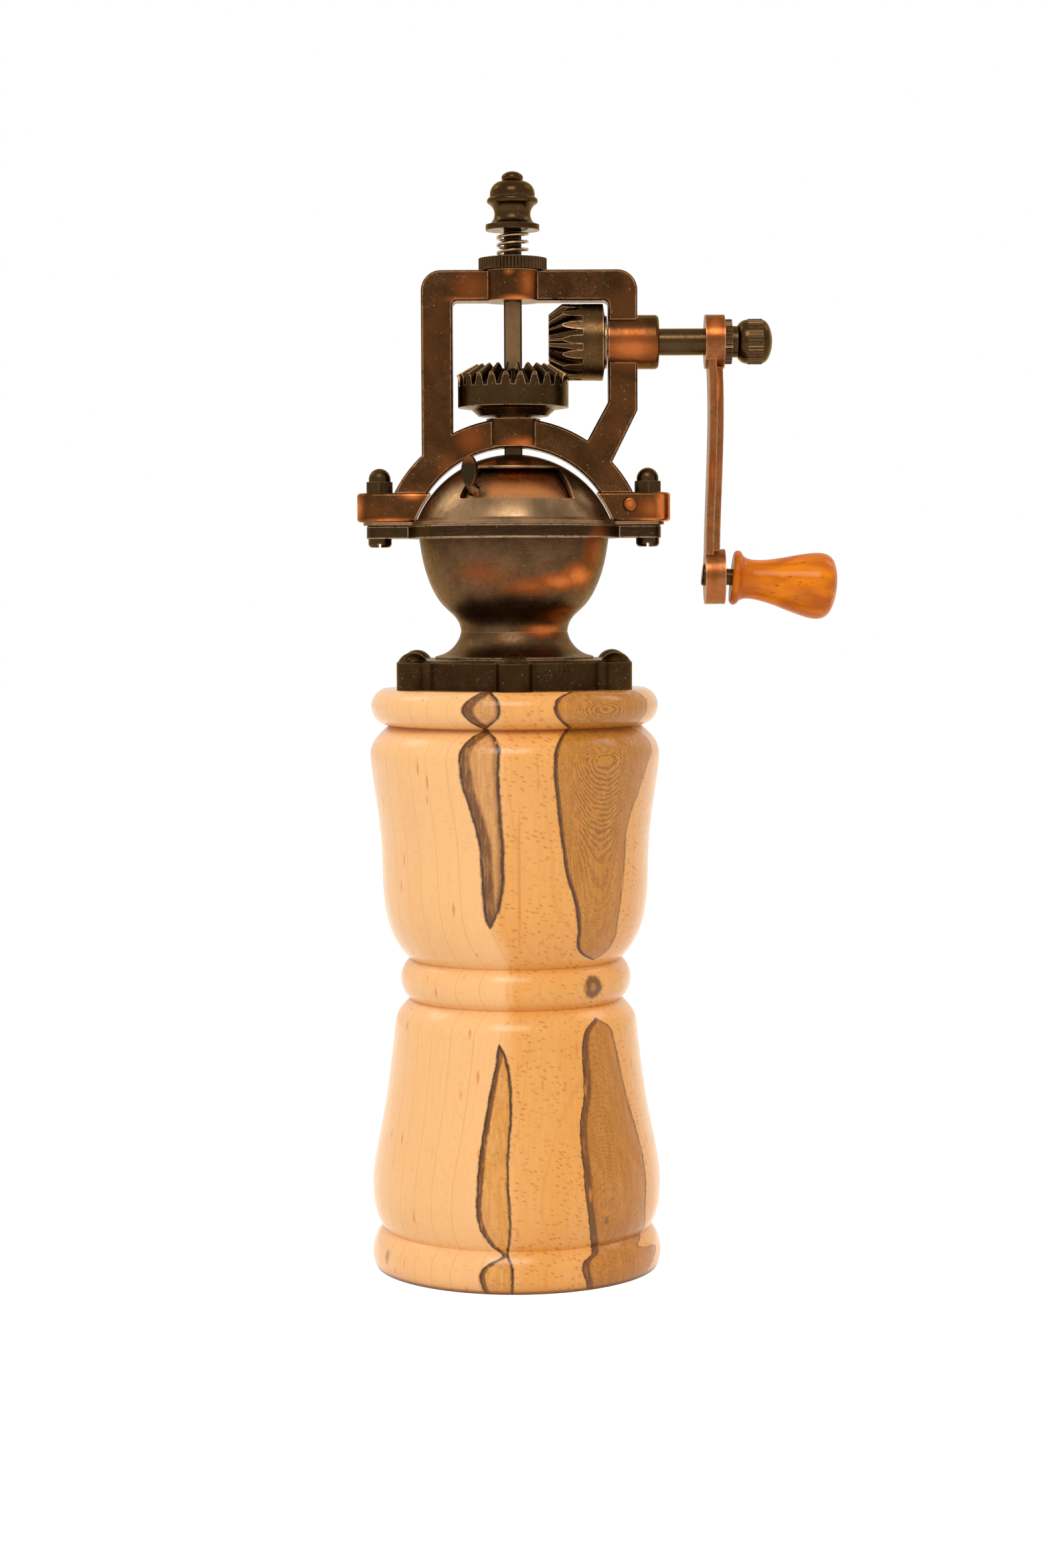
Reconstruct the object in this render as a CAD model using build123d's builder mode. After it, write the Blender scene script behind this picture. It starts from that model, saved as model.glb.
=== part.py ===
from build123d import *
import os
from math import acos, cos, pi, radians, sin, sqrt

# A hand-cranked seed mill, standing upright with the axis of its spindle on Z.
# The front faces -Y, the crank is on +X, and the jar's foot stands on z = 0.
# Lengths are in millimetres and angles in degrees.

# ---------------------------------------------------------------- clearances
running_gap = 0.06        # radial play of shafts and spindles in their bores
fit_gap = 0.02            # radial play of pieces fastened together
seat_gap = 0.3            # play between curved pieces that slide past each other
thread_gap = 0.05         # radial play of a screw in its tapped hole
thread_end_gap = 0.4      # from the end of a thread to the end of its blind hole

# ---------------------------------------------------------------- wooden jar
foot_bead_height = 8.7
lower_body_height = 49.6
middle_bead_height = 8.7
upper_body_height = 50.4
top_bead_height = 7.8
foot_radius = 30.6
foot_bead_radius = 31.35
foot_groove_radius = 29.0
lower_shoulder_radius = 31.15
lower_taper_radius = 26.3
lower_waist_radius = 22.9
middle_bead_radius = 24.95
upper_waist_radius = 22.9
upper_taper_radius = 26.8
upper_shoulder_radius = 31.1
top_groove_radius = 27.1
top_bead_radius = 30.9
jar_top_radius = 28.4
jar_bore_radius = 19.0
jar_floor = 20.0

# ---------------------------------------------------------------- collar in the jar's mouth
collar_bore_radius = 17.6
collar_wall = 1.7
collar_depth = 10.0
collar_flange_radius = 23.2
collar_flange_thickness = 1.6
receiver_screw_count = 3
receiver_screw_radius = 0.9
receiver_screw_head_radius = 1.7
receiver_screw_length = 10.0
receiver_slot_width = 0.5
receiver_slot_depth = 0.5

# ---------------------------------------------------------------- lobed base casting
base_height = 6.3
base_wall_radius = 23.4
lobe_count = 6
lobe_circle_radius = 24.7
lobe_radius = 3.5
lobe_fillet = 1.6
lobe_dome_radius = 3.05
lobe_dome_height = 1.8
base_edge_round = 0.9
spigot_length = 8.0

# ---------------------------------------------------------------- burrs
burr_radius = 13.9
burr_height = 9.0
burr_top_bore = 8.2
burr_bottom_bore = 11.0
burr_gap = 0.35           # between ring and cone at the finest setting
burr_groove_depth = 0.9
burr_groove_width = 1.6
burr_groove_overrun = 2.0
burr_shoulder = 0.15      # step from the ring's seat to the bowl's spigot
ring_groove_count = 18
cone_groove_count = 16

# ---------------------------------------------------------------- bowl
bowl_height = 28.7        # from the base casting to the top of the rim
bowl_foot_radius = 17.0
bowl_foot_edge = 0.6
bowl_step_radius = 15.3
bowl_step_height = 1.1
bowl_neck_radius = 11.45
bowl_neck_height = 5.9
bowl_rim_radius = 20.35
bowl_wall = 1.7
bowl_spigot_length = 4.1
rim_thickness = 2.8
rim_radius = 22.85
rim_edge_round = 0.6
bowl_ear_reach = 31.6
bowl_ear_width = 7.4

# ---------------------------------------------------------------- dome and filler door
dome_radius = 22.4
dome_centre_drop = 7.3    # centre of the dome below the top of the rim
dome_wall = 0.9
dome_flange_thickness = 0.7
dome_flange_radius = 22.1
dome_ear_reach = 32.3
dome_ear_width = 7.8
dome_foot_bead = 0.7
window_sill = 12.6        # over the dome's centre
window_head = 19.4
window_sill_left = -38.5  # azimuths from the front, growing towards the crank
window_sill_right = 43.0
window_head_left = -40.0
window_head_right = 56.0
window_corner = 0.9
window_lip_radius = 0.4
door_wall = 0.7
door_overlap = 5.0
door_collar_radius = 6.5
tab_azimuth = -32.2
tab_width = 3.7
tab_height = 6.5
tab_thickness = 0.8
tab_foot = 15.1           # over the dome's centre
tab_distance = 16.9       # from the axis to the tab's back
tab_root_radius = 1.5
tab_neck_radius = 0.8
tab_root_sink = 0.3
tab_root_length = 2.3

# ---------------------------------------------------------------- frame
arch_radius = 28.55
arch_bore_radius = 22.4
arch_centre_drop = 6.6    # centre of the arch below the underside of the lugs
lug_height = 6.2
lug_reach = 33.6
lug_width = 8.6
frame_depth = 7.0
post_width_left = 6.7
post_width_right = 6.2
bar_thickness = 6.5
bar_corner = 4.3
frame_inner_corner = 1.0
frame_edge_round = 0.7
lug_edge_round = 0.7
arch_boss_radius = 5.8
arch_boss_rise = 0.2      # from the crown of the arch's underside to the boss
bar_boss_radius = 6.3
bearing_radius = 5.75
bearing_length = 10.8
bearing_edge_round = 0.8
foot_slant = 6.0          # how far the right post leans in where it meets the arch
foot_slant_height = 6.3
arch_dome_gap = 0.7
post_gear_gap = 0.7       # from the gear's teeth to the left post
bar_pinion_gap = 0.5      # from the pinion to the bar

# ---------------------------------------------------------------- fasteners of the lugs
clamp_spacing = 57.5      # between the two clamp screws
clamp_screw_radius = 1.5
clamp_head_radius = 2.5
clamp_head_height = 1.9
clamp_slot_width = 0.6
clamp_slot_depth = 0.8
acorn_flats = 5.5
acorn_hex_height = 2.4
acorn_dome_radius = 2.35
acorn_dome_height = 2.9
acorn_bore_depth = 4.0
lug_pin_offset = 24.8
lug_pin_height = 3.6      # over the underside of the lug
lug_pin_radius = 1.1
lug_pin_head_radius = 1.58
lug_pin_head_height = 0.9

# ---------------------------------------------------------------- bevel gears
tooth_module = 0.97
pressure_angle = 20.0
gear_teeth = 24
pinion_teeth = 16
tooth_backlash = 0.1
tip_clearance = 0.25      # in modules
toe_share = 0.62          # cone distance of the pinion's toe, as a share of the heel's
gear_toe_share = 0.68     # and of the gear's
flank_steps = 4
gap_start = 0.8           # where the cut of a tooth gap starts, as a share of the toe's cone distance
gear_gap_end = 1.15       # where it ends, as a share of the heel's
pinion_gap_end = 1.32
gear_mounting = 15.7      # from the crank's axis to the back of the gear's hub
gear_rim_radius = 11.85
gear_rim_bottom = 13.85   # from the crank's axis
gear_rim_slope = 0.4      # fall of the rim's underside towards the hub
gear_hub_top_radius = 9.0
gear_hub_radius = 7.4
gear_face_depth = 6.2     # from the crank's axis to the flat inside the teeth
washer_radius = 3.9
washer_thickness = 0.5
washer_gap = 0.05
pinion_hub_end = 20.0
pinion_body_end = 19.2
pinion_body_radius = 8.13
pinion_hub_radius = 5.6
pinion_end_bevel = 0.4
pinion_toe_cut = 0.4      # taken off the pinion's small end
pinion_pin_radius = 0.9
pinion_pin_x = 18.1
pinion_pin_sink = 0.3     # of the pin's ends below the pinion's body

# ---------------------------------------------------------------- spindle
spindle_width = 3.84
spindle_corner = 0.35
thread_radius = 1.9
spindle_top_play = 0.2    # between the square and the underside of the bar
cone_nut_flats = 7.0
cone_nut_height = 3.2
spindle_tail = 1.2        # of thread left below the nut

# ---------------------------------------------------------------- adjusting disc, spring and finial
disc_washer_radius = 5.4
disc_washer_thickness = 0.5
disc_radius = 7.3
disc_thickness = 2.5
disc_rim_gap = 0.15       # from the bar to the disc, which hides its washer
disc_ridges = 56
disc_ridge_depth = 0.3
spring_washer_radius = 3.9
spring_washer_thickness = 0.4
spring_height = 5.54
spring_radius = 3.1       # to the centre of the wire
spring_wire = 0.7
spring_turns = 3.0
spring_start = 90.0       # azimuth of the wire's ends from +X
finial_height = 12.5
finial_thread_share = 0.55
finial_flange_radius = 5.75
finial_flange_thickness = 1.2
finial_flange_step = 0.5
finial_waist_radius = 3.85
finial_bead_radius = 5.45
finial_bell_radius = 4.75
finial_neck_radius = 2.1
finial_knob_radius = 2.32
finial_bead_low = 0.44    # heights as shares of the finial's
finial_bead_high = 0.56
finial_bell_high = 0.836
finial_knob_start = 0.28  # height of the knob's widest ring, as a share of the knob's

# ---------------------------------------------------------------- crank
shaft_radius = 2.85
bearing_end_play = 0.3
crank_gap = 9.9           # from the bearing's end to the arm
crank_radius = 50.1
top_eye_radius = 5.75
low_eye_radius = 5.9
top_eye_thickness = 4.15
low_eye_thickness = 4.3
arm_plate_thickness = 1.7
arm_rib_thickness = 1.45
arm_bow = 0.85
arm_width_top = 8.6
arm_width_low = 7.0
arm_start = 0.02          # of the crank's radius, where the arm's bow begins
arm_rib_width = 3.6
crank_square = 4.0
crank_thread_radius = 2.0
nut_flange_radius = 4.78
nut_flange_thickness = 1.6
nut_flange_ridges = 36
nut_neck_radius = 3.35
nut_neck_length = 1.2
nut_ball_radius = 4.83
nut_length = 10.3
nut_band_width = 3.1
nut_band_ridges = 40
nut_ridge_depth = 0.28
nut_thread_depth = 7.0

# ---------------------------------------------------------------- grip
grip_droop = 6.0
grip_pin_radius = 1.78
grip_pin_head_radius = 2.45
grip_pin_head_height = 0.9
grip_pin_head_gap = 0.1
grip_pin_head_sink = 0.05
grip_pin_end_radius = 2.6
grip_pin_end_height = 1.3
grip_gap = 1.5            # from the arm's eye to the grip
grip_length = 22.8
grip_flange_radius = 5.85
grip_flange_length = 1.7
grip_neck_radius = 4.4
grip_neck_place = 6.4
grip_bulge_radius = 6.85
grip_bulge_place = 16.4
grip_end_radius = 5.3
grip_end_bulge = 1.1
grip_end_recess_radius = 3.0
grip_end_recess_depth = 2.2

# ---------------------------------------------------------------- places worked out from the sizes
foot_groove_z = foot_bead_height
lower_waist_z = foot_groove_z + lower_body_height
upper_waist_z = lower_waist_z + middle_bead_height
top_groove_z = upper_waist_z + upper_body_height
jar_top_z = top_groove_z + top_bead_height

base_top_z = jar_top_z + base_height
spigot_radius = collar_bore_radius - running_gap
spigot_bottom_z = jar_top_z - spigot_length
burr_top_z = base_top_z - bowl_spigot_length
burr_bottom_z = burr_top_z - burr_height
bowl_spigot_radius = burr_radius + burr_shoulder

rim_top_z = base_top_z + bowl_height
rim_bottom_z = rim_top_z - rim_thickness
dome_centre_z = rim_top_z - dome_centre_drop
dome_bore_radius = dome_radius - dome_wall
door_radius = dome_bore_radius - seat_gap
door_bottom_z = rim_top_z + seat_gap

lug_bottom_z = rim_top_z + dome_flange_thickness
lug_top_z = lug_bottom_z + lug_height
arch_centre_z = lug_bottom_z - arch_centre_drop
arch_top_z = arch_centre_z + arch_radius

# The two bevel gears share one apex, on the spindle's axis at the crank's height.
gear_radius = tooth_module * gear_teeth / 2
pinion_radius = tooth_module * pinion_teeth / 2
cone_distance = sqrt(gear_radius**2 + pinion_radius**2)
gear_cone = acos(pinion_radius / cone_distance)
pinion_cone = acos(gear_radius / cone_distance)
gear_bottom_z = arch_top_z + washer_thickness + washer_gap
crank_z = gear_bottom_z + gear_mounting
gear_tip_radius = gear_radius + tooth_module * cos(gear_cone)
pinion_tip_radius = pinion_radius + tooth_module * cos(pinion_cone)

post_inner_left = -(gear_tip_radius + post_gear_gap)
post_inner_right = pinion_hub_end + bearing_end_play
post_outer_left = post_inner_left - post_width_left
post_outer_right = post_inner_right + post_width_right
bar_bottom_z = crank_z + pinion_body_radius + bar_pinion_gap
frame_top_z = bar_bottom_z + bar_thickness
bearing_end = post_inner_right + bearing_length

spindle_corner_radius = sqrt(2) * (spindle_width / 2 - spindle_corner / 2)
spindle_bore_radius = spindle_corner_radius + running_gap
square_top_z = bar_bottom_z - spindle_top_play
cone_nut_bottom_z = burr_bottom_z - cone_nut_height
spindle_bottom_z = cone_nut_bottom_z - spindle_tail

disc_bottom_z = frame_top_z + disc_rim_gap
disc_top_z = disc_bottom_z + disc_thickness
spring_bottom_z = disc_top_z + spring_washer_thickness
finial_bottom_z = spring_bottom_z + spring_height
finial_top_z = finial_bottom_z + finial_height
spindle_top_z = finial_bottom_z + finial_thread_share * finial_height

arm_left = bearing_end + crank_gap
arm_right = arm_left + top_eye_thickness
low_eye_right = arm_left + low_eye_thickness
grip_z = crank_z - crank_radius
nut_right = arm_right + nut_length

# ---------------------------------------------------------------- planes and axes
crank_axis = Axis((0, 0, crank_z), (1, 0, 0))
crank_plane = Plane(origin=(0, 0, crank_z), x_dir=(1, 0, 0), z_dir=(0, -1, 0))
crank_section = Plane(origin=(0, 0, crank_z), x_dir=(0, 1, 0), z_dir=(1, 0, 0))
droop = radians(grip_droop)
grip_plane = Plane(origin=(low_eye_right, 0, grip_z), x_dir=(cos(droop), 0, -sin(droop)), z_dir=(0, -1, 0))
grip_axis = Axis(grip_plane.origin, grip_plane.x_dir)
grip_section = Plane(origin=grip_plane.origin, x_dir=(0, 1, 0), z_dir=grip_plane.x_dir)
gear_plane = Plane(origin=(0, 0, crank_z), x_dir=(1, 0, 0), z_dir=(0, 0, -1))
pinion_plane = Plane(origin=(0, 0, crank_z), x_dir=(0, 0, -1), z_dir=(1, 0, 0))

os.makedirs("parts", exist_ok=True)


def half_plane(azimuth):
    """Upright plane that holds the mill's axis and looks out at an azimuth from +X."""
    turn = radians(azimuth)
    return Plane(origin=(0, 0, 0), x_dir=(cos(turn), sin(turn), 0), z_dir=(sin(turn), -cos(turn), 0))


def ridge_points(radius, depth, count):
    """Corners of a rim with small pointed ridges all round."""
    points = []
    for step in range(2 * count):
        reach = radius - depth * (step % 2)
        turn = pi * step / count
        points.append((reach * cos(turn), reach * sin(turn)))
    return points


def dome_point(radius, height):
    """Place (radius, z) on a sphere about the dome's centre, at a height over that centre."""
    return sqrt(radius**2 - height**2), dome_centre_z + height


def dome_height(radius, reach):
    """Height over the dome's centre at which a sphere is a given reach from the axis."""
    return sqrt(radius**2 - reach**2)


def dome_arc(radius, low, high):
    """Arc of a sphere about the dome's centre between two heights over that centre."""
    middle = (low + high) / 2
    return ThreePointArc(dome_point(radius, low), dome_point(radius, middle), dome_point(radius, high))


# ---------------------------------------------------------------- wooden jar
receiver_radius = collar_bore_radius + collar_wall
receiver_circle = (receiver_radius + collar_flange_radius) / 2

with BuildPart() as wood_body:
    with BuildSketch(Plane.XZ):
        with BuildLine():
            Line((0, 0), (foot_radius, 0))
            ThreePointArc(
                (foot_radius, 0),
                (foot_bead_radius, 0.38 * foot_bead_height),
                (foot_groove_radius, foot_groove_z),
            )
            Spline(
                (foot_groove_radius, foot_groove_z),
                (lower_shoulder_radius, foot_groove_z + 0.13 * lower_body_height),
                (
                    0.4 * lower_taper_radius + 0.6 * lower_shoulder_radius,
                    foot_groove_z + 0.46 * lower_body_height,
                ),
                (lower_taper_radius, foot_groove_z + 0.88 * lower_body_height),
                (lower_waist_radius, lower_waist_z),
                tangents=((0.75, 1), (-1.1, 1)),
            )
            ThreePointArc(
                (lower_waist_radius, lower_waist_z),
                (middle_bead_radius, (lower_waist_z + upper_waist_z) / 2),
                (upper_waist_radius, upper_waist_z),
            )
            Spline(
                (upper_waist_radius, upper_waist_z),
                (upper_taper_radius, upper_waist_z + 0.115 * upper_body_height),
                (
                    0.5 * upper_taper_radius + 0.5 * upper_shoulder_radius,
                    upper_waist_z + 0.5 * upper_body_height,
                ),
                (upper_shoulder_radius, upper_waist_z + 0.84 * upper_body_height),
                (top_groove_radius, top_groove_z),
                tangents=((1.1, 1), (-1.3, 1)),
            )
            ThreePointArc(
                (top_groove_radius, top_groove_z),
                (top_bead_radius, top_groove_z + 0.56 * top_bead_height),
                (jar_top_radius, jar_top_z),
            )
            Polyline((jar_top_radius, jar_top_z), (0, jar_top_z), (0, 0))
        make_face()
    revolve(axis=Axis.Z)
    with BuildSketch(Plane.XY.offset(jar_floor)):
        Circle(jar_bore_radius)
    extrude(until=Until.LAST, mode=Mode.SUBTRACT)
    with BuildSketch(Plane.XY.offset(jar_top_z)):
        Circle(receiver_radius + fit_gap)
    extrude(amount=-collar_depth, mode=Mode.SUBTRACT)
    with BuildSketch(Plane.XY.offset(jar_top_z)):
        Circle(collar_flange_radius + fit_gap)
    extrude(amount=-collar_flange_thickness, mode=Mode.SUBTRACT)
    with BuildSketch(Plane.XY.offset(jar_top_z - receiver_screw_length - thread_end_gap)):
        with PolarLocations(receiver_circle, receiver_screw_count, start_angle=90):
            Circle(receiver_screw_radius + thread_gap)
    extrude(amount=receiver_screw_length, mode=Mode.SUBTRACT)
wood_body.part.label = "wood_body"
export_step(wood_body.part, "parts/wood_body.step")

with BuildPart() as receiver_ring:
    with BuildSketch(Plane.XY.offset(jar_top_z)):
        Circle(collar_flange_radius)
        Circle(collar_bore_radius, mode=Mode.SUBTRACT)
    extrude(amount=-collar_flange_thickness)
    with BuildSketch(Plane.XY.offset(jar_top_z)):
        Circle(receiver_radius)
        Circle(collar_bore_radius, mode=Mode.SUBTRACT)
    extrude(amount=-collar_depth)
    with Locations(Plane.XY.offset(jar_top_z)):
        with PolarLocations(receiver_circle, receiver_screw_count, start_angle=90):
            CounterSinkHole(
                receiver_screw_radius + thread_gap,
                receiver_screw_head_radius + thread_gap,
                depth=collar_flange_thickness,
                counter_sink_angle=90,
            )
receiver_ring.part.label = "receiver_ring"
export_step(receiver_ring.part, "parts/receiver_ring.step")

with BuildPart() as receiver_screws:
    with BuildSketch(Plane.XY.offset(jar_top_z - receiver_screw_length)):
        with PolarLocations(receiver_circle, receiver_screw_count, start_angle=90):
            Circle(receiver_screw_radius)
    extrude(amount=receiver_screw_length)
    with Locations(Plane.XY.offset(jar_top_z - (receiver_screw_head_radius - receiver_screw_radius) / 2)):
        with PolarLocations(receiver_circle, receiver_screw_count, start_angle=90):
            Cone(
                receiver_screw_radius,
                receiver_screw_head_radius,
                receiver_screw_head_radius - receiver_screw_radius,
            )
    with BuildSketch(Plane.XY.offset(jar_top_z)):
        with PolarLocations(receiver_circle, receiver_screw_count, start_angle=90):
            Rectangle(2 * receiver_screw_head_radius, receiver_slot_width)
    extrude(amount=-receiver_slot_depth, mode=Mode.SUBTRACT)
receiver_screws.part.label = "receiver_screws"
export_step(receiver_screws.part, "parts/receiver_screws.step")

# ---------------------------------------------------------------- lobed base casting
lobe_sphere_radius = (lobe_dome_radius**2 + lobe_dome_height**2) / (2 * lobe_dome_height)

with BuildPart() as lobed_base_ring:
    with BuildSketch(Plane.XY.offset(jar_top_z)) as lobed_outline:
        Circle(base_wall_radius)
        with PolarLocations(lobe_circle_radius, lobe_count, start_angle=30):
            Circle(lobe_radius)
        fillet(lobed_outline.vertices(), lobe_fillet)
    extrude(amount=base_height)
    chamfer(lobed_base_ring.faces().sort_by(Axis.Z)[-1].edges(), base_edge_round / 2)
    with Locations((0, 0, base_top_z + lobe_dome_height - lobe_sphere_radius)):
        with PolarLocations(lobe_circle_radius, lobe_count, start_angle=30):
            Sphere(lobe_sphere_radius)
    with BuildSketch(Plane.XY.offset(jar_top_z)):
        Circle(spigot_radius)
    extrude(amount=-spigot_length)
    with BuildSketch(Plane.XY.offset(spigot_bottom_z)):
        Circle(burr_radius + fit_gap)
    extrude(until=Until.LAST, mode=Mode.SUBTRACT)
    with BuildSketch(Plane.XY.offset(burr_top_z)):
        Circle(bowl_spigot_radius + fit_gap)
    extrude(amount=bowl_spigot_length, mode=Mode.SUBTRACT)
lobed_base_ring.part.label = "lobed_base_ring"
export_step(lobed_base_ring.part, "parts/lobed_base_ring.step")


# ---------------------------------------------------------------- burrs
def burr_flute(top_radius, bottom_radius, reach):
    """V-shaped flute along a burr's slanted wall, in the plane of +X, cut reach deep into it."""
    slant = Vector(bottom_radius - top_radius, 0, -burr_height).normalized()
    start = Vector(top_radius, 0, burr_top_z) - slant * burr_groove_overrun
    outward = Plane(origin=start, x_dir=(0, 1, 0), z_dir=slant)
    with BuildPart() as flute:
        with BuildSketch(outward):
            with BuildLine():
                Polyline((-burr_groove_width / 2, 0), (burr_groove_width / 2, 0), (0, reach), close=True)
            make_face()
        extrude(amount=burr_height + 2 * burr_groove_overrun)
    return flute.part


with BuildPart() as ring_burr:
    with BuildSketch(Plane.XZ):
        with BuildLine():
            Polyline(
                (burr_top_bore, burr_top_z),
                (burr_radius, burr_top_z),
                (burr_radius, burr_bottom_z),
                (burr_bottom_bore, burr_bottom_z),
                close=True,
            )
        make_face()
    revolve(axis=Axis.Z)
    ring_flute = burr_flute(burr_top_bore, burr_bottom_bore, -burr_groove_depth)
    with PolarLocations(0, ring_groove_count):
        add(ring_flute, mode=Mode.SUBTRACT)
ring_burr.part.label = "ring_burr"
export_step(ring_burr.part, "parts/ring_burr.step")

with BuildPart() as grinding_cone:
    with BuildSketch(Plane.XZ):
        with BuildLine():
            Polyline(
                (0, burr_top_z),
                (burr_top_bore - burr_gap, burr_top_z),
                (burr_bottom_bore - burr_gap, burr_bottom_z),
                (0, burr_bottom_z),
                close=True,
            )
        make_face()
    revolve(axis=Axis.Z)
    cone_flute = burr_flute(burr_top_bore - burr_gap, burr_bottom_bore - burr_gap, burr_groove_depth)
    with PolarLocations(0, cone_groove_count):
        add(cone_flute, mode=Mode.SUBTRACT)
    with BuildSketch(Plane.XY.offset(burr_bottom_z)):
        Rectangle(spindle_width + 2 * fit_gap, spindle_width + 2 * fit_gap)
    extrude(amount=burr_height, mode=Mode.SUBTRACT)
grinding_cone.part.label = "grinding_cone"
export_step(grinding_cone.part, "parts/grinding_cone.step")

# ---------------------------------------------------------------- bowl
with BuildPart() as bowl:
    with BuildSketch(Plane.XZ):
        with BuildLine():
            Polyline(
                (0, burr_top_z),
                (bowl_spigot_radius, burr_top_z),
                (bowl_spigot_radius, base_top_z),
                (bowl_foot_radius, base_top_z),
                (bowl_foot_radius, base_top_z + bowl_foot_edge),
                (bowl_step_radius, base_top_z + bowl_step_height),
            )
            ThreePointArc(
                (bowl_step_radius, base_top_z + bowl_step_height),
                (
                    0.3 * bowl_step_radius + 0.7 * bowl_neck_radius,
                    base_top_z + 0.55 * bowl_neck_height,
                ),
                (bowl_neck_radius, base_top_z + bowl_neck_height),
            )
            Spline(
                (bowl_neck_radius, base_top_z + bowl_neck_height),
                (
                    bowl_neck_radius + 0.4 * (bowl_rim_radius - bowl_neck_radius),
                    base_top_z + bowl_neck_height + 0.27 * (rim_bottom_z - base_top_z - bowl_neck_height),
                ),
                (
                    bowl_neck_radius + 0.77 * (bowl_rim_radius - bowl_neck_radius),
                    base_top_z + bowl_neck_height + 0.55 * (rim_bottom_z - base_top_z - bowl_neck_height),
                ),
                (bowl_rim_radius, rim_bottom_z),
                tangents=((0.05, 1), (0.14, 1)),
            )
            Polyline((bowl_rim_radius, rim_bottom_z), (0, rim_bottom_z), (0, burr_top_z))
        make_face()
    revolve(axis=Axis.Z)
    with BuildSketch(Plane.XY.offset(rim_bottom_z)):
        Circle(rim_radius)
        SlotOverall(2 * bowl_ear_reach, bowl_ear_width)
    extrude(amount=rim_thickness)
    chamfer(bowl.faces().sort_by(Axis.Z)[-1].edges(), rim_edge_round / 2)
    with BuildSketch(Plane.XZ):
        with BuildLine():
            Polyline(
                (0, burr_top_z),
                (bowl_neck_radius - bowl_wall, burr_top_z),
                (bowl_neck_radius - bowl_wall, base_top_z + bowl_neck_height),
            )
            Spline(
                (bowl_neck_radius - bowl_wall, base_top_z + bowl_neck_height),
                (
                    bowl_neck_radius - bowl_wall + 0.4 * (bowl_rim_radius - bowl_neck_radius),
                    base_top_z + bowl_neck_height + 0.3 * (rim_bottom_z - base_top_z - bowl_neck_height),
                ),
                (
                    bowl_neck_radius - bowl_wall + 0.77 * (bowl_rim_radius - bowl_neck_radius),
                    base_top_z + bowl_neck_height + 0.57 * (rim_bottom_z - base_top_z - bowl_neck_height),
                ),
                (bowl_rim_radius - bowl_wall, rim_bottom_z),
                tangents=((0.05, 1), (0.05, 1)),
            )
            Polyline(
                (bowl_rim_radius - bowl_wall, rim_bottom_z),
                (bowl_rim_radius - bowl_wall, rim_top_z),
                (0, rim_top_z),
                (0, burr_top_z),
            )
        make_face()
    revolve(axis=Axis.Z, mode=Mode.SUBTRACT)
    with BuildSketch(Plane.XY.offset(rim_bottom_z)):
        with GridLocations(clamp_spacing, 0, 2, 1):
            Circle(clamp_screw_radius + thread_gap)
    extrude(amount=rim_thickness, mode=Mode.SUBTRACT)
bowl.part.label = "bowl"
export_step(bowl.part, "parts/bowl.step")

# ---------------------------------------------------------------- dome
dome_foot_height = lug_bottom_z - dome_centre_z


def window_spot(azimuth, height, radius=dome_radius):
    """Place on a sphere about the dome's centre, at an azimuth from the front and a height over that centre."""
    turn = radians(azimuth - 90)
    reach = sqrt(radius**2 - height**2)
    return Vector(reach * cos(turn), reach * sin(turn), dome_centre_z + height)


def window_side(sill_azimuth, head_azimuth):
    """Plane through the dome's centre and one side of the window, which looks towards the crank."""
    centre = Vector(0, 0, dome_centre_z)
    sill_ray = window_spot(sill_azimuth, window_sill) - centre
    head_ray = window_spot(head_azimuth, window_head) - centre
    return Plane(origin=centre, z_dir=head_ray.cross(sill_ray))


with BuildPart() as window_opening:
    with BuildSketch(half_plane(180)):
        with BuildLine():
            Polyline(
                (dome_radius / 3, dome_centre_z + window_sill),
                (dome_radius + 1, dome_centre_z + window_sill),
                (dome_radius + 1, dome_centre_z + window_head),
                (dome_radius / 3, dome_centre_z + window_head),
                close=True,
            )
        make_face()
    revolve(axis=Axis.Z, revolution_arc=180)
    split(bisect_by=window_side(window_sill_left, window_head_left), keep=Keep.TOP)
    split(bisect_by=window_side(window_sill_right, window_head_right), keep=Keep.BOTTOM)
    fillet(window_opening.edges().filter_by(GeomType.LINE), window_corner)

# The window's head and its right side have a rolled lip.
window_spots = [
    window_spot(window_head_left, window_head),
    window_spot((window_head_left + window_head_right) / 2, window_head),
    window_spot(window_head_right, window_head),
    window_spot(window_sill_right, window_sill),
]
side_chord = (window_spots[2] + window_spots[3]) / 2 - Vector(0, 0, dome_centre_z)
side_middle = side_chord.normalized() * dome_radius + Vector(0, 0, dome_centre_z)
window_edges = (
    Edge.make_three_point_arc(*window_spots[:3]),
    Edge.make_three_point_arc(window_spots[2], side_middle, window_spots[3]),
)

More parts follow.
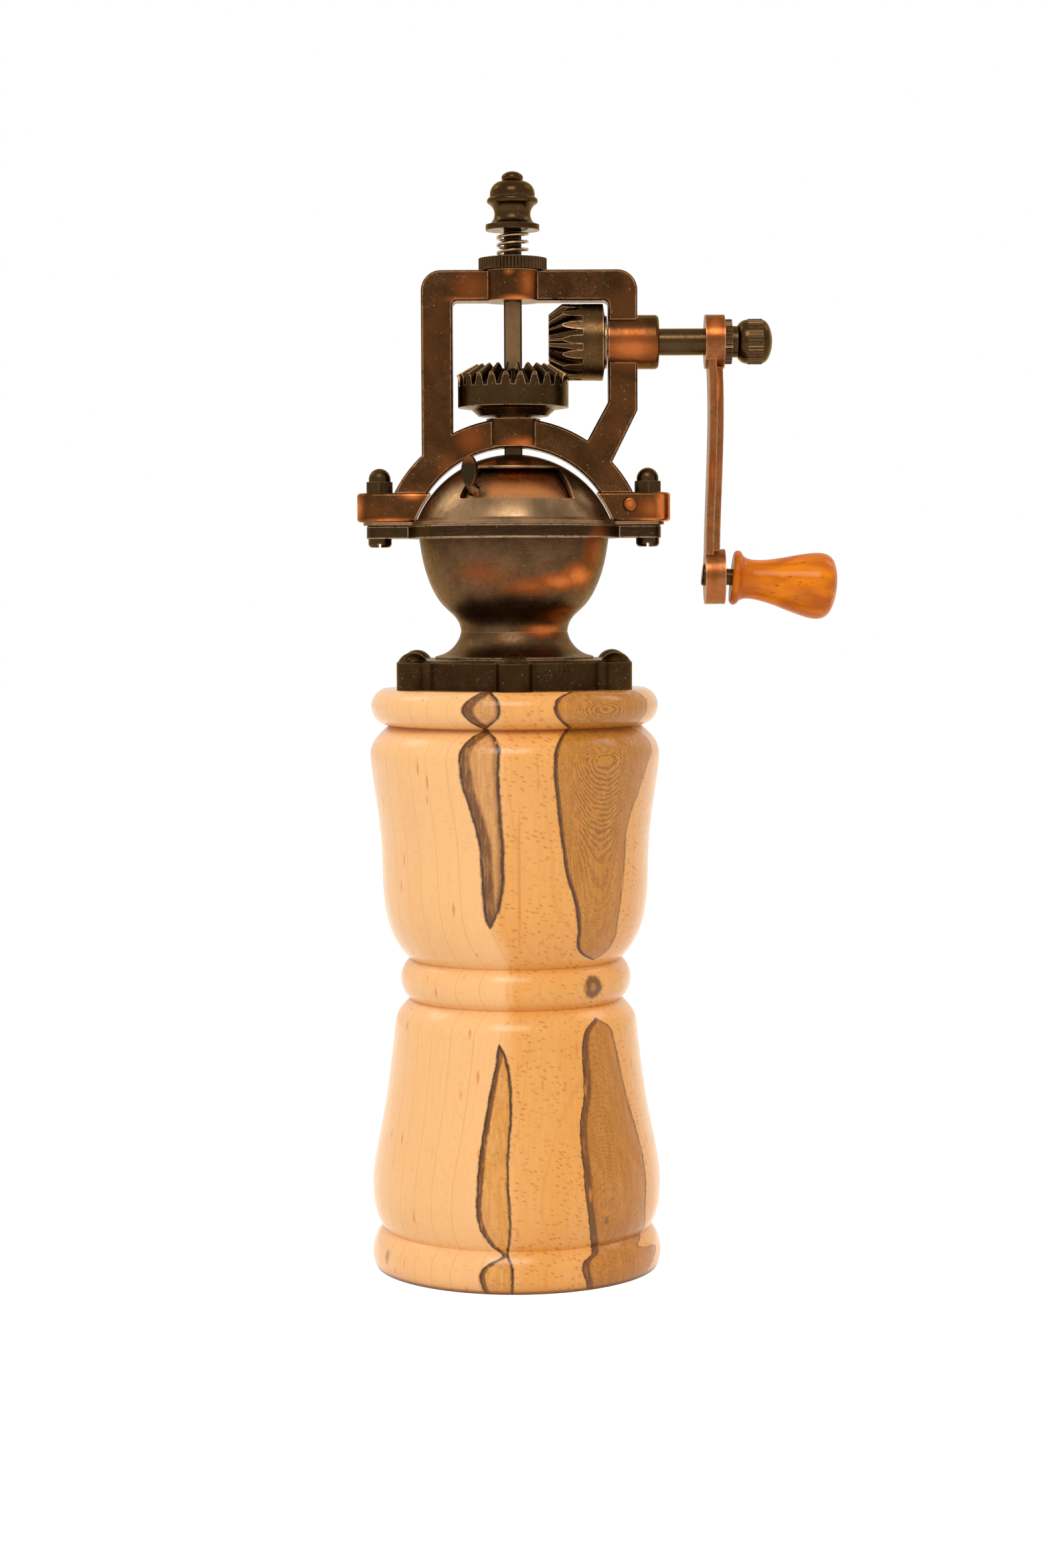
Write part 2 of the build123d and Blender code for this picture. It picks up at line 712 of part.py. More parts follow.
with BuildPart() as dome_cover:
    with BuildSketch(Plane.XY.offset(rim_top_z)):
        Circle(dome_flange_radius)
        SlotOverall(2 * dome_ear_reach, dome_ear_width)
    extrude(amount=dome_flange_thickness)
    with BuildSketch(Plane.XZ):
        with BuildLine():
            foot_reach = dome_point(dome_radius, dome_foot_height + dome_foot_bead)
            Polyline(
                (0, rim_top_z),
                (foot_reach[0] + dome_foot_bead, rim_top_z),
                (foot_reach[0] + dome_foot_bead, lug_bottom_z),
                foot_reach,
            )
            dome_arc(
                dome_radius,
                dome_foot_height + dome_foot_bead,
                dome_height(dome_radius, spindle_bore_radius),
            )
            Polyline(
                dome_point(dome_radius, dome_height(dome_radius, spindle_bore_radius)),
                (0, dome_centre_z + dome_height(dome_radius, spindle_bore_radius)),
                (0, rim_top_z),
            )
        make_face()
    revolve(axis=Axis.Z)
    with Locations((0, 0, dome_centre_z)):
        Sphere(dome_bore_radius, mode=Mode.SUBTRACT)
    add(window_opening.part, mode=Mode.SUBTRACT)
    for edge in window_edges:
        with BuildSketch(Plane(origin=edge @ 0, z_dir=edge % 0)):
            Circle(window_lip_radius)
        sweep(path=edge)
        with Locations(edge @ 0, edge @ 1):
            Sphere(window_lip_radius)
    with BuildSketch(Plane.XY.offset(rim_top_z)):
        Circle(spindle_bore_radius)
        with GridLocations(clamp_spacing, 0, 2, 1):
            Circle(clamp_screw_radius + thread_gap)
    extrude(until=Until.LAST, mode=Mode.SUBTRACT)
dome_cover.part.label = "dome_cover"
export_step(dome_cover.part, "parts/dome_cover.step")

# ---------------------------------------------------------------- filler door
door_low = door_bottom_z - dome_centre_z
door_bore_radius = door_radius - door_wall
door_hole_radius = spindle_bore_radius + running_gap
door_sweep = window_head_right - window_head_left + 2 * door_overlap
tab_turn = radians(tab_azimuth - 90)
tab_out = Vector(cos(tab_turn), sin(tab_turn), 0)
tab_along = Vector(-sin(tab_turn), cos(tab_turn), 0)
tab_plane = Plane(
    origin=tab_out * tab_distance + Vector(0, 0, dome_centre_z + tab_foot), x_dir=tab_along, z_dir=tab_out
)
root_lean = Vector(tab_out * dome_point(dome_radius, tab_foot)[0] + Vector(0, 0, tab_foot)).normalized()
root_plane = Plane(
    origin=root_lean * (door_radius - tab_root_sink) + Vector(0, 0, dome_centre_z), x_dir=tab_along, z_dir=root_lean
)

with BuildPart() as filler_door:
    with BuildSketch(Plane.XZ):
        with BuildLine():
            for skin_radius in (door_radius, door_bore_radius):
                dome_arc(skin_radius, door_low, dome_height(skin_radius, door_hole_radius))
            Line(dome_point(door_radius, door_low), dome_point(door_bore_radius, door_low))
            Line(
                dome_point(door_radius, dome_height(door_radius, door_hole_radius)),
                dome_point(door_bore_radius, dome_height(door_bore_radius, door_hole_radius)),
            )
        make_face()
    revolve(axis=Axis.Z)
    with BuildSketch(half_plane(window_head_right + door_overlap - 90)):
        with BuildLine():
            Polyline(
                (door_collar_radius, door_bottom_z - 1),
                (dome_radius, door_bottom_z - 1),
                (dome_radius, dome_centre_z + dome_radius),
                (door_collar_radius, dome_centre_z + dome_radius),
                close=True,
            )
        make_face()
    revolve(axis=Axis.Z, revolution_arc=360 - door_sweep, mode=Mode.SUBTRACT)
    with BuildSketch(tab_plane):
        with Locations((0, tab_height / 2)):
            Ellipse(tab_width / 2, tab_height / 2)
    extrude(amount=tab_thickness)
    with BuildSketch(root_plane):
        Circle(tab_root_radius)
    with BuildSketch(root_plane.offset(tab_root_length)):
        Circle(tab_neck_radius)
    loft()
filler_door.part.label = "filler_door"
export_step(filler_door.part, "parts/filler_door.step")

# ---------------------------------------------------------------- frame
arch_clear_radius = dome_radius + arch_dome_gap
slant_top_z = arch_top_z + 0.25 * foot_slant_height


def on_arch(reach, depth):
    """Point of the arch's outline at a reach from the axis, moved depth towards the arch's centre."""
    share = (arch_radius - depth) / arch_radius
    return share * reach, arch_centre_z + share * sqrt(arch_radius**2 - reach**2)


with BuildPart() as lug_bar:
    with BuildSketch(Plane.XY.offset(lug_bottom_z)):
        SlotOverall(2 * lug_reach, lug_width)
    extrude(amount=lug_height)
    fillet(lug_bar.edges().group_by(Axis.Z)[0] + lug_bar.edges().group_by(Axis.Z)[-1], lug_edge_round)

with BuildPart() as frame_yoke:
    with BuildSketch(Plane.XZ) as frame_outline:
        with Locations((0, arch_centre_z)):
            Circle(arch_radius)
            Circle(arch_bore_radius, mode=Mode.SUBTRACT)
        with Locations((0, lug_bottom_z)):
            Rectangle(3 * arch_radius, 2 * arch_radius, align=(Align.CENTER, Align.MAX), mode=Mode.SUBTRACT)
        with BuildLine():
            Polyline(
                on_arch(post_outer_left, arch_radius - arch_bore_radius - 1),
                on_arch(post_outer_left, 0),
                (post_outer_left, frame_top_z),
                (post_outer_right, frame_top_z),
                (post_outer_right, slant_top_z),
                on_arch(post_outer_right - 0.9 * foot_slant, 0),
                on_arch(post_outer_right - 0.9 * foot_slant, 3),
                on_arch(post_inner_right - 0.75 * foot_slant, 3),
                on_arch(post_inner_right - 0.75 * foot_slant, 0),
                (post_inner_right, slant_top_z + 0.3 * foot_slant_height),
                (post_inner_right, bar_bottom_z),
                (post_inner_left, bar_bottom_z),
                on_arch(post_inner_left, 0),
                on_arch(post_inner_left, arch_radius - arch_bore_radius - 1),
                close=True,
            )
        make_face()
        fillet(frame_outline.vertices().group_by(Axis.Y)[-1], bar_corner)
        corners = frame_outline.vertices()
        inner_corners = corners.filter_by(lambda corner: abs(corner.Y - bar_bottom_z) < 0.01)
        fillet(inner_corners, frame_inner_corner)
    extrude(amount=frame_depth / 2, both=True)
    chamfer(frame_yoke.faces().filter_by(Axis.Y).edges(), frame_edge_round / 2)
    add(lug_bar.part)
    with BuildSketch(Plane.XY.offset(arch_centre_z + arch_bore_radius + arch_boss_rise)):
        Circle(arch_boss_radius)
    extrude(amount=arch_radius - arch_bore_radius - arch_boss_rise)
    with BuildSketch(Plane.XY.offset(bar_bottom_z)):
        Circle(bar_boss_radius)
    extrude(amount=bar_thickness)
    with BuildSketch(crank_section.offset(post_inner_right)):
        Circle(bearing_radius)
    extrude(amount=bearing_length)
    bearing_face = frame_yoke.faces().filter_by_position(Axis.X, bearing_end - 0.01, bearing_end + 0.01)
    fillet(bearing_face.edges(), bearing_edge_round)
    with Locations((0, 0, dome_centre_z)):
        Sphere(arch_clear_radius, mode=Mode.SUBTRACT)
    with BuildSketch(Plane.XY.offset(arch_centre_z)):
        Circle(spindle_bore_radius)
    extrude(amount=arch_radius, mode=Mode.SUBTRACT)
    with BuildSketch(Plane.XY.offset(bar_bottom_z)):
        Circle(thread_radius + 2 * running_gap)
    extrude(amount=bar_thickness, mode=Mode.SUBTRACT)
    with BuildSketch(crank_section.offset(post_inner_right)):
        Circle(shaft_radius + running_gap)
    extrude(amount=bearing_length, mode=Mode.SUBTRACT)
    with BuildSketch(Plane.XY.offset(lug_bottom_z)):
        with GridLocations(clamp_spacing, 0, 2, 1):
            Circle(clamp_screw_radius + thread_gap)
    extrude(amount=lug_height, mode=Mode.SUBTRACT)
    with BuildSketch(Plane.XZ):
        with Locations((lug_pin_offset, lug_bottom_z + lug_pin_height)):
            Circle(lug_pin_radius + fit_gap)
    extrude(amount=lug_width, both=True, mode=Mode.SUBTRACT)
frame_yoke.part.label = "frame_yoke"
export_step(frame_yoke.part, "parts/frame_yoke.step")

# ---------------------------------------------------------------- fasteners of the lugs
with BuildPart() as clamp_screws:
    with BuildSketch(Plane.XY.offset(rim_bottom_z)):
        with GridLocations(clamp_spacing, 0, 2, 1):
            Circle(clamp_head_radius)
    extrude(amount=-clamp_head_height)
    fillet(clamp_screws.faces().sort_by(Axis.Z)[:2].edges(), 0.45 * clamp_head_height)
    with BuildSketch(Plane.XY.offset(rim_bottom_z)):
        with GridLocations(clamp_spacing, 0, 2, 1):
            Circle(clamp_screw_radius)
    extrude(amount=lug_top_z + acorn_bore_depth - thread_end_gap - rim_bottom_z)
    with BuildSketch(Plane.XY.offset(rim_bottom_z - clamp_head_height)):
        with GridLocations(clamp_spacing, 0, 2, 1):
            Rectangle(clamp_slot_width, 2 * clamp_head_radius)
    extrude(amount=clamp_slot_depth, mode=Mode.SUBTRACT)
clamp_screws.part.label = "clamp_screws"
export_step(clamp_screws.part, "parts/clamp_screws.step")

with BuildPart() as acorn_nuts:
    with BuildSketch(Plane.XY.offset(lug_top_z)):
        with GridLocations(clamp_spacing, 0, 2, 1):
            RegularPolygon(acorn_flats / 2, 6, major_radius=False, rotation=30)
    extrude(amount=acorn_hex_height)
    with BuildSketch(Plane.XY.offset(lug_top_z)):
        with GridLocations(clamp_spacing, 0, 2, 1):
            Circle(acorn_dome_radius)
    extrude(amount=acorn_hex_height + acorn_dome_height - acorn_dome_radius)
    with Locations((0, 0, lug_top_z + acorn_hex_height + acorn_dome_height - acorn_dome_radius)):
        with GridLocations(clamp_spacing, 0, 2, 1):
            Sphere(acorn_dome_radius)
    with BuildSketch(Plane.XY.offset(lug_top_z)):
        with GridLocations(clamp_spacing, 0, 2, 1):
            Circle(clamp_screw_radius + thread_gap)
    extrude(amount=acorn_bore_depth, mode=Mode.SUBTRACT)
acorn_nuts.part.label = "acorn_nuts"
export_step(acorn_nuts.part, "parts/acorn_nuts.step")

lug_pin_plane = Plane(
    origin=(lug_pin_offset, -lug_width / 2, lug_bottom_z + lug_pin_height), x_dir=(1, 0, 0), z_dir=(0, 1, 0)
)
with BuildPart() as lug_pin:
    with BuildSketch(lug_pin_plane):
        Circle(lug_pin_radius)
    extrude(amount=lug_width)
    with BuildSketch(lug_pin_plane):
        Circle(lug_pin_head_radius)
    extrude(amount=-lug_pin_head_height)
    fillet(lug_pin.faces().sort_by(Axis.Y)[0].edges(), 0.8 * lug_pin_head_height)
lug_pin.part.label = "lug_pin"
export_step(lug_pin.part, "parts/lug_pin.step")

with BuildPart() as thrust_washer:
    with BuildSketch(Plane.XY.offset(arch_top_z)):
        Circle(washer_radius)
        Circle(spindle_bore_radius, mode=Mode.SUBTRACT)
    extrude(amount=washer_thickness)
thrust_washer.part.label = "thrust_washer"
export_step(thrust_washer.part, "parts/thrust_washer.step")


# ---------------------------------------------------------------- bevel gears
def involute(angle):
    """Involute function of a pressure angle in radians."""
    return sqrt(1 / cos(angle) ** 2 - 1) - angle


def gap_outline(teeth, cone_angle):
    """Outline of the gap between two teeth, as it is seen from the apex of the pitch cones.

    The flanks are involutes on the developed back cone. Each point of them is set on the real back cone and
    drawn straight towards the apex on a plane square to the pitch line, at the heel's cone distance.
    """
    back_radius = tooth_module * teeth / 2 / cos(cone_angle)
    base_radius = back_radius * cos(radians(pressure_angle))
    root_radius = back_radius - (1 + tip_clearance) * tooth_module
    outer_radius = back_radius + 1.15 * tooth_module
    pitch_half_gap = (pi * tooth_module + tooth_backlash) / 4 / back_radius
    flank = []
    for step in range(flank_steps + 1):
        radius = root_radius + (outer_radius - root_radius) * step / flank_steps
        roll = acos(min(1, base_radius / radius))
        half_gap = pitch_half_gap - involute(radians(pressure_angle)) + involute(roll)
        turn = half_gap / cos(cone_angle)
        along = cone_distance / cos(cone_angle) - radius * sin(cone_angle)
        reach = radius * cos(cone_angle)
        share = cone_distance / (along * cos(cone_angle) + reach * cos(turn) * sin(cone_angle))
        across = share * reach * sin(turn)
        height = share * (reach * cos(turn) * cos(cone_angle) - along * sin(cone_angle))
        flank.append((across, height))
    widest, highest = flank[-1]
    flank.append((1.3 * widest, highest + 1.5 * tooth_module))
    return flank + [(-across, height) for across, height in reversed(flank)]


def gap_cutter(teeth, cone_angle, toe, heel):
    """Solid of one gap, drawn towards the apex at the origin, with the gear's axis on Z."""
    pitch_line = Vector(sin(cone_angle), 0, cos(cone_angle))
    with BuildPart() as cutter:
        for share in (toe, heel):
            section = Plane(origin=pitch_line * cone_distance * share, x_dir=(0, -1, 0), z_dir=pitch_line)
            with BuildSketch(section):
                with BuildLine():
                    outline = gap_outline(teeth, cone_angle)
                    Polyline(*[(share * across, share * height) for across, height in outline], close=True)
                make_face()
        loft(ruled=True)
    return cutter.part


gear_tip_z = crank_z - pinion_radius + tooth_module * sin(gear_cone)
heel_drop = (gear_tip_radius - gear_rim_radius) / cos(gear_cone) * sin(gear_cone)
gear_cutter = gap_cutter(gear_teeth, gear_cone, gap_start * toe_share, gear_gap_end)

with BuildPart() as drive_gear:
    with BuildSketch(Plane.XZ):
        with BuildLine():
            toe_drop = (gear_face_depth - gear_toe_share * (crank_z - gear_tip_z)) / sin(gear_cone)
            Polyline(
                (0, gear_bottom_z),
                (gear_hub_radius, gear_bottom_z),
                (gear_hub_top_radius, crank_z - gear_rim_bottom - gear_rim_slope),
                (gear_rim_radius, crank_z - gear_rim_bottom),
                (gear_rim_radius, gear_tip_z - heel_drop),
                (gear_tip_radius, gear_tip_z),
                (gear_toe_share * gear_tip_radius, crank_z - gear_toe_share * (crank_z - gear_tip_z)),
                (gear_toe_share * gear_tip_radius - toe_drop * cos(gear_cone), crank_z - gear_face_depth),
                (0, crank_z - gear_face_depth),
                close=True,
            )
        make_face()
    revolve(axis=Axis.Z)
    with Locations(gear_plane.location):
        with PolarLocations(0, gear_teeth):
            add(gear_cutter, mode=Mode.SUBTRACT)
    with BuildSketch(Plane.XY.offset(gear_bottom_z)):
        Rectangle(spindle_width + 2 * running_gap, spindle_width + 2 * running_gap)
    extrude(until=Until.LAST, mode=Mode.SUBTRACT)
drive_gear.part.label = "drive_gear"
export_step(drive_gear.part, "parts/drive_gear.step")

pinion_tip_x = gear_radius - tooth_module * sin(pinion_cone)
pinion_toe_x = toe_share * gear_radius + pinion_toe_cut
pinion_cutter = gap_cutter(pinion_teeth, pinion_cone, gap_start * toe_share, pinion_gap_end)

with BuildPart() as pinion:
    with BuildSketch(crank_plane):
        with BuildLine():
            Polyline(
                (pinion_toe_x, 0),
                (pinion_toe_x, pinion_toe_x * pinion_tip_radius / pinion_tip_x),
                (pinion_body_radius * pinion_tip_x / pinion_tip_radius, pinion_body_radius),
                (pinion_body_end, pinion_body_radius),
                (pinion_body_end + pinion_end_bevel, pinion_hub_radius),
                (pinion_hub_end, pinion_hub_radius),
                (pinion_hub_end, 0),
                close=True,
            )
        make_face()
    revolve(axis=crank_axis)
    with Locations(pinion_plane.location):
        with PolarLocations(0, pinion_teeth, start_angle=180 / pinion_teeth):
            add(pinion_cutter, mode=Mode.SUBTRACT)
    with BuildSketch(crank_section.offset(pinion_toe_x)):
        Circle(shaft_radius + fit_gap)
    extrude(until=Until.LAST, mode=Mode.SUBTRACT)
    with BuildSketch(Plane.XY.offset(crank_z)):
        with Locations((pinion_pin_x, 0)):
            Circle(pinion_pin_radius + fit_gap)
    extrude(amount=pinion_body_radius + 1, both=True, mode=Mode.SUBTRACT)
pinion.part.label = "pinion"
export_step(pinion.part, "parts/pinion.step")

with BuildPart() as pinion_pin:
    with BuildSketch(Plane.XY.offset(crank_z)):
        with Locations((pinion_pin_x, 0)):
            Circle(pinion_pin_radius)
    extrude(amount=pinion_body_radius - pinion_pin_sink, both=True)
pinion_pin.part.label = "pinion_pin"
export_step(pinion_pin.part, "parts/pinion_pin.step")

# ---------------------------------------------------------------- spindle and what turns with it
with BuildPart() as spindle:
    with BuildSketch(Plane.XY.offset(spindle_bottom_z)):
        Circle(thread_radius)
    extrude(amount=spindle_top_z - spindle_bottom_z)
    with BuildSketch(Plane.XY.offset(burr_bottom_z)) as square:
        Rectangle(spindle_width, spindle_width)
        chamfer(square.vertices(), spindle_corner)
    extrude(amount=square_top_z - burr_bottom_z)
spindle.part.label = "spindle"
export_step(spindle.part, "parts/spindle.step")

with BuildPart() as cone_nut:
    with BuildSketch(Plane.XY.offset(cone_nut_bottom_z)):
        RegularPolygon(cone_nut_flats / 2, 6, major_radius=False)
        Circle(thread_radius + fit_gap, mode=Mode.SUBTRACT)
    extrude(amount=cone_nut_height)
cone_nut.part.label = "cone_nut"
export_step(cone_nut.part, "parts/cone_nut.step")

with BuildPart() as disc_washer:
    with BuildSketch(Plane.XY.offset(frame_top_z)):
        Circle(disc_washer_radius)
        Circle(thread_radius + running_gap, mode=Mode.SUBTRACT)
    extrude(amount=disc_washer_thickness)
disc_washer.part.label = "disc_washer"
export_step(disc_washer.part, "parts/disc_washer.step")

with BuildPart() as adjusting_disc:
    with BuildSketch(Plane.XY.offset(disc_bottom_z)):
        with BuildLine():
            Polyline(*ridge_points(disc_radius, disc_ridge_depth, disc_ridges), close=True)
        make_face()
        Circle(thread_radius + running_gap, mode=Mode.SUBTRACT)
    extrude(amount=disc_thickness)
    with BuildSketch(Plane.XY.offset(disc_bottom_z)):
        Circle(disc_washer_radius + fit_gap)
    extrude(amount=disc_washer_thickness - disc_rim_gap, mode=Mode.SUBTRACT)
adjusting_disc.part.label = "adjusting_disc"
export_step(adjusting_disc.part, "parts/adjusting_disc.step")

with BuildPart() as spring_washer:
    with BuildSketch(Plane.XY.offset(disc_top_z)):
        Circle(spring_washer_radius)
        Circle(thread_radius + running_gap, mode=Mode.SUBTRACT)
    extrude(amount=spring_washer_thickness)
spring_washer.part.label = "spring_washer"
export_step(spring_washer.part, "parts/spring_washer.step")


def biarc(start, start_way, end, end_way):
    """Two arcs that leave start along start_way, meet smoothly, and reach end along end_way."""
    span = end - start
    ways = start_way + end_way
    spread = 2 - 2 * start_way.dot(end_way)
    reach = (sqrt(span.dot(ways) ** 2 + spread * span.dot(span)) - span.dot(ways)) / spread
    middle = (start + start_way * reach + end - end_way * reach) / 2
    middle_way = (end - end_way * reach - start - start_way * reach).normalized()
    TangentArc(start, middle, tangent=start_way)
    TangentArc(middle, end, tangent=middle_way)


def coil_place(turns, low, pitch):
    """Centre of the spring's wire after a number of turns from its lower end, and the way it runs there."""
    angle = 2 * pi * turns + radians(spring_start)
    place = Vector(spring_radius * cos(angle), spring_radius * sin(angle), low + pitch * turns)
    round_the_axis = 2 * pi * spring_radius * Vector(-sin(angle), cos(angle))
    return place, (round_the_axis + Vector(0, 0, pitch)).normalized()


# The first and the last turn start flush with the washer and the finial.
coil_low_z = spring_bottom_z + spring_wire / 2
coil_pitch = (spring_height - spring_wire) / spring_turns
coil_start, coil_start_way = coil_place(0, coil_low_z, coil_pitch)

with BuildPart() as tension_spring:
    with BuildLine() as wire_path:
        for quarter in range(round(4 * spring_turns)):
            here, way_here = coil_place(quarter / 4, coil_low_z, coil_pitch)
            there, way_there = coil_place((quarter + 1) / 4, coil_low_z, coil_pitch)
            biarc(here, way_here, there, way_there)
    with BuildSketch(Plane(origin=coil_start, z_dir=coil_start_way)):
        Circle(spring_wire / 2)
    sweep()
tension_spring.part.label = "tension_spring"
export_step(tension_spring.part, "parts/tension_spring.step")

points_per_turn = 64
nearest_other_turn = 3 * points_per_turn // 4
wire_points = [
    coil_place(step / points_per_turn, coil_low_z, coil_pitch)[0]
    for step in range(round(points_per_turn * spring_turns) + 1)
]
least_gap = min(
    (wire_points[first] - wire_points[second]).length - spring_wire
    for first in range(len(wire_points))
    for second in range(first + nearest_other_turn, len(wire_points))
)
print("least gap of the spring to itself", round(least_gap, 3))

with BuildPart() as finial:
    with BuildSketch(Plane.XZ):
        with BuildLine():
            cove_low = finial_bottom_z + finial_flange_thickness
            bead_low = finial_bottom_z + finial_bead_low * finial_height
            bead_high = finial_bottom_z + finial_bead_high * finial_height
            bell_high = finial_bottom_z + finial_bell_high * finial_height
            knob_start = bell_high + finial_knob_start * (finial_top_z - bell_high)
            Polyline(
                (0, finial_bottom_z),
                (finial_flange_radius, finial_bottom_z),
                (finial_flange_radius, cove_low),
                (finial_flange_radius - finial_flange_step, cove_low),
            )
            ThreePointArc(
                (finial_flange_radius - finial_flange_step, cove_low),
                (finial_waist_radius, (cove_low + bead_low) / 2),
                (0.9 * finial_bead_radius, bead_low),
            )
            ThreePointArc(
                (0.9 * finial_bead_radius, bead_low),
                (finial_bead_radius, (bead_low + bead_high) / 2),
                (finial_bell_radius, bead_high),
            )
            ThreePointArc(
                (finial_bell_radius, bead_high),
                (0.93 * finial_bell_radius, bead_high + 0.6 * (bell_high - bead_high)),
                (finial_neck_radius, bell_high),
            )
            Line((finial_neck_radius, bell_high), (finial_knob_radius, knob_start))
            Spline(
                (finial_knob_radius, knob_start),
                (0.75 * finial_knob_radius, knob_start + 0.66 * (finial_top_z - knob_start)),
                (0, finial_top_z),
                tangents=((0, 1), (-1, 0)),
            )
            Line((0, finial_top_z), (0, finial_bottom_z))
        make_face()
    revolve(axis=Axis.Z)
    with BuildSketch(Plane.XY.offset(finial_bottom_z)):
        Circle(thread_radius + fit_gap)
    extrude(amount=spindle_top_z - finial_bottom_z + thread_end_gap, mode=Mode.SUBTRACT)
finial.part.label = "finial"
export_step(finial.part, "parts/finial.step")

# ---------------------------------------------------------------- crank
with BuildPart() as crank_shaft:
    with BuildSketch(crank_section.offset(pinion_toe_x)):
        Circle(shaft_radius)
    extrude(amount=arm_left - pinion_toe_x)
    with BuildSketch(crank_section.offset(arm_left)):
        Rectangle(crank_square, crank_square)
    extrude(amount=top_eye_thickness)
    with BuildSketch(crank_section.offset(arm_right)):
        Circle(crank_thread_radius)
    extrude(amount=nut_thread_depth - thread_end_gap)
    with BuildSketch(Plane.XY.offset(crank_z)):
        with Locations((pinion_pin_x, 0)):
            Circle(pinion_pin_radius + fit_gap)
    extrude(amount=shaft_radius + 1, both=True, mode=Mode.SUBTRACT)
crank_shaft.part.label = "crank_shaft"
export_step(crank_shaft.part, "parts/crank_shaft.step")


def arm_band(start, thickness, width_top, width_low):
    """One layer of the bowed arm, start from its inner face, with its widths at the upper and lower eye."""
    inner = arm_left + start
    outer = inner + thickness
    with BuildPart() as band:
        with BuildSketch(crank_plane):
            with BuildLine():
                for face in (inner, outer):
                    Spline(
                        (face + 0.4 * arm_bow, -arm_start * crank_radius),
                        (face + arm_bow, -0.28 * crank_radius),
                        (face + 0.3 * arm_bow, -0.72 * crank_radius),
                        (face, -crank_radius),
                    )
                Line(
                    (inner + 0.4 * arm_bow, -arm_start * crank_radius),
                    (outer + 0.4 * arm_bow, -arm_start * crank_radius),
                )
                Line((inner, -crank_radius), (outer, -crank_radius))
            make_face()
        extrude(amount=width_top, both=True)
        with BuildSketch(Plane.YZ.offset(arm_left - 1)):
            with BuildLine():
                Polyline(
                    (-width_top / 2, crank_z),
                    (width_top / 2, crank_z),
                    (width_low / 2, grip_z),
                    (-width_low / 2, grip_z),
                    close=True,
                )
            make_face()
        extrude(amount=2 + start + thickness + arm_bow, mode=Mode.INTERSECT)
    return band.part


seat_inset = grip_pin_head_radius * sin(droop) + grip_pin_head_sink
pin_seat = -low_eye_thickness / cos(droop) + seat_inset
pin_head_plane = grip_section.offset(pin_seat)
grip_hole_end = grip_gap + grip_length - grip_end_recess_depth

with BuildPart() as crank_arm:
    add(arm_band(0, arm_plate_thickness, arm_width_top, arm_width_low))
    add(arm_band(0, arm_plate_thickness + arm_rib_thickness, arm_rib_width, arm_rib_width))
    with BuildSketch(crank_section.offset(arm_left)):
        Circle(top_eye_radius)
    extrude(amount=top_eye_thickness)
    with BuildSketch(Plane.YZ.offset(arm_left)):
        with Locations((0, grip_z)):
            Circle(low_eye_radius)
    extrude(amount=low_eye_thickness)
    with BuildSketch(crank_section.offset(arm_left)):
        Rectangle(crank_square + 2 * fit_gap, crank_square + 2 * fit_gap)
    extrude(amount=top_eye_thickness, mode=Mode.SUBTRACT)
    with BuildSketch(grip_section):
        Circle(grip_pin_radius + fit_gap)
    extrude(amount=2 * low_eye_thickness, both=True, mode=Mode.SUBTRACT)
    with BuildSketch(pin_head_plane):
        Circle(grip_pin_head_radius + grip_pin_head_gap)
    extrude(amount=-low_eye_thickness, mode=Mode.SUBTRACT)
crank_arm.part.label = "crank_arm"
export_step(crank_arm.part, "parts/crank_arm.step")

nut_neck_x = arm_right + nut_flange_thickness
nut_ball_x = nut_neck_x + nut_neck_length
nut_band_x = (nut_ball_x + nut_right - nut_band_width) / 2

with BuildPart() as crank_nut:
    with BuildSketch(crank_plane):
        with BuildLine():
            Polyline(
                (arm_right, 0),
                (arm_right, nut_neck_radius),
                (nut_ball_x, nut_neck_radius),
            )
            ThreePointArc(
                (nut_ball_x, nut_neck_radius),
                (nut_ball_x + 0.45 * (nut_band_x - nut_ball_x), nut_ball_radius - 0.45),
                (nut_band_x, nut_ball_radius - nut_ridge_depth / 2),
            )
            Line(
                (nut_band_x, nut_ball_radius - nut_ridge_depth / 2),
                (nut_band_x + nut_band_width, nut_ball_radius - nut_ridge_depth / 2),
            )
            Spline(
                (nut_band_x + nut_band_width, nut_ball_radius - nut_ridge_depth / 2),
                (
                    nut_band_x + nut_band_width + 0.8 * (nut_right - nut_band_x - nut_band_width),
                    0.55 * nut_ball_radius,
                ),
                (nut_right, 0),
                tangents=((1, -0.3), (0, -1)),
            )
            Line((nut_right, 0), (arm_right, 0))
        make_face()
    revolve(axis=crank_axis)
    with BuildSketch(crank_section.offset(nut_band_x)):
        with BuildLine():
            Polyline(*ridge_points(nut_ball_radius, nut_ridge_depth, nut_band_ridges), close=True)
        make_face()
    extrude(amount=nut_band_width)
    with BuildSketch(crank_section.offset(arm_right)):
        with BuildLine():
            Polyline(*ridge_points(nut_flange_radius, nut_ridge_depth, nut_flange_ridges), close=True)
        make_face()
    extrude(amount=nut_flange_thickness)
    with BuildSketch(crank_section.offset(arm_right)):
        Circle(crank_thread_radius + fit_gap)
    extrude(amount=nut_thread_depth, mode=Mode.SUBTRACT)
crank_nut.part.label = "crank_nut"
export_step(crank_nut.part, "parts/crank_nut.step")

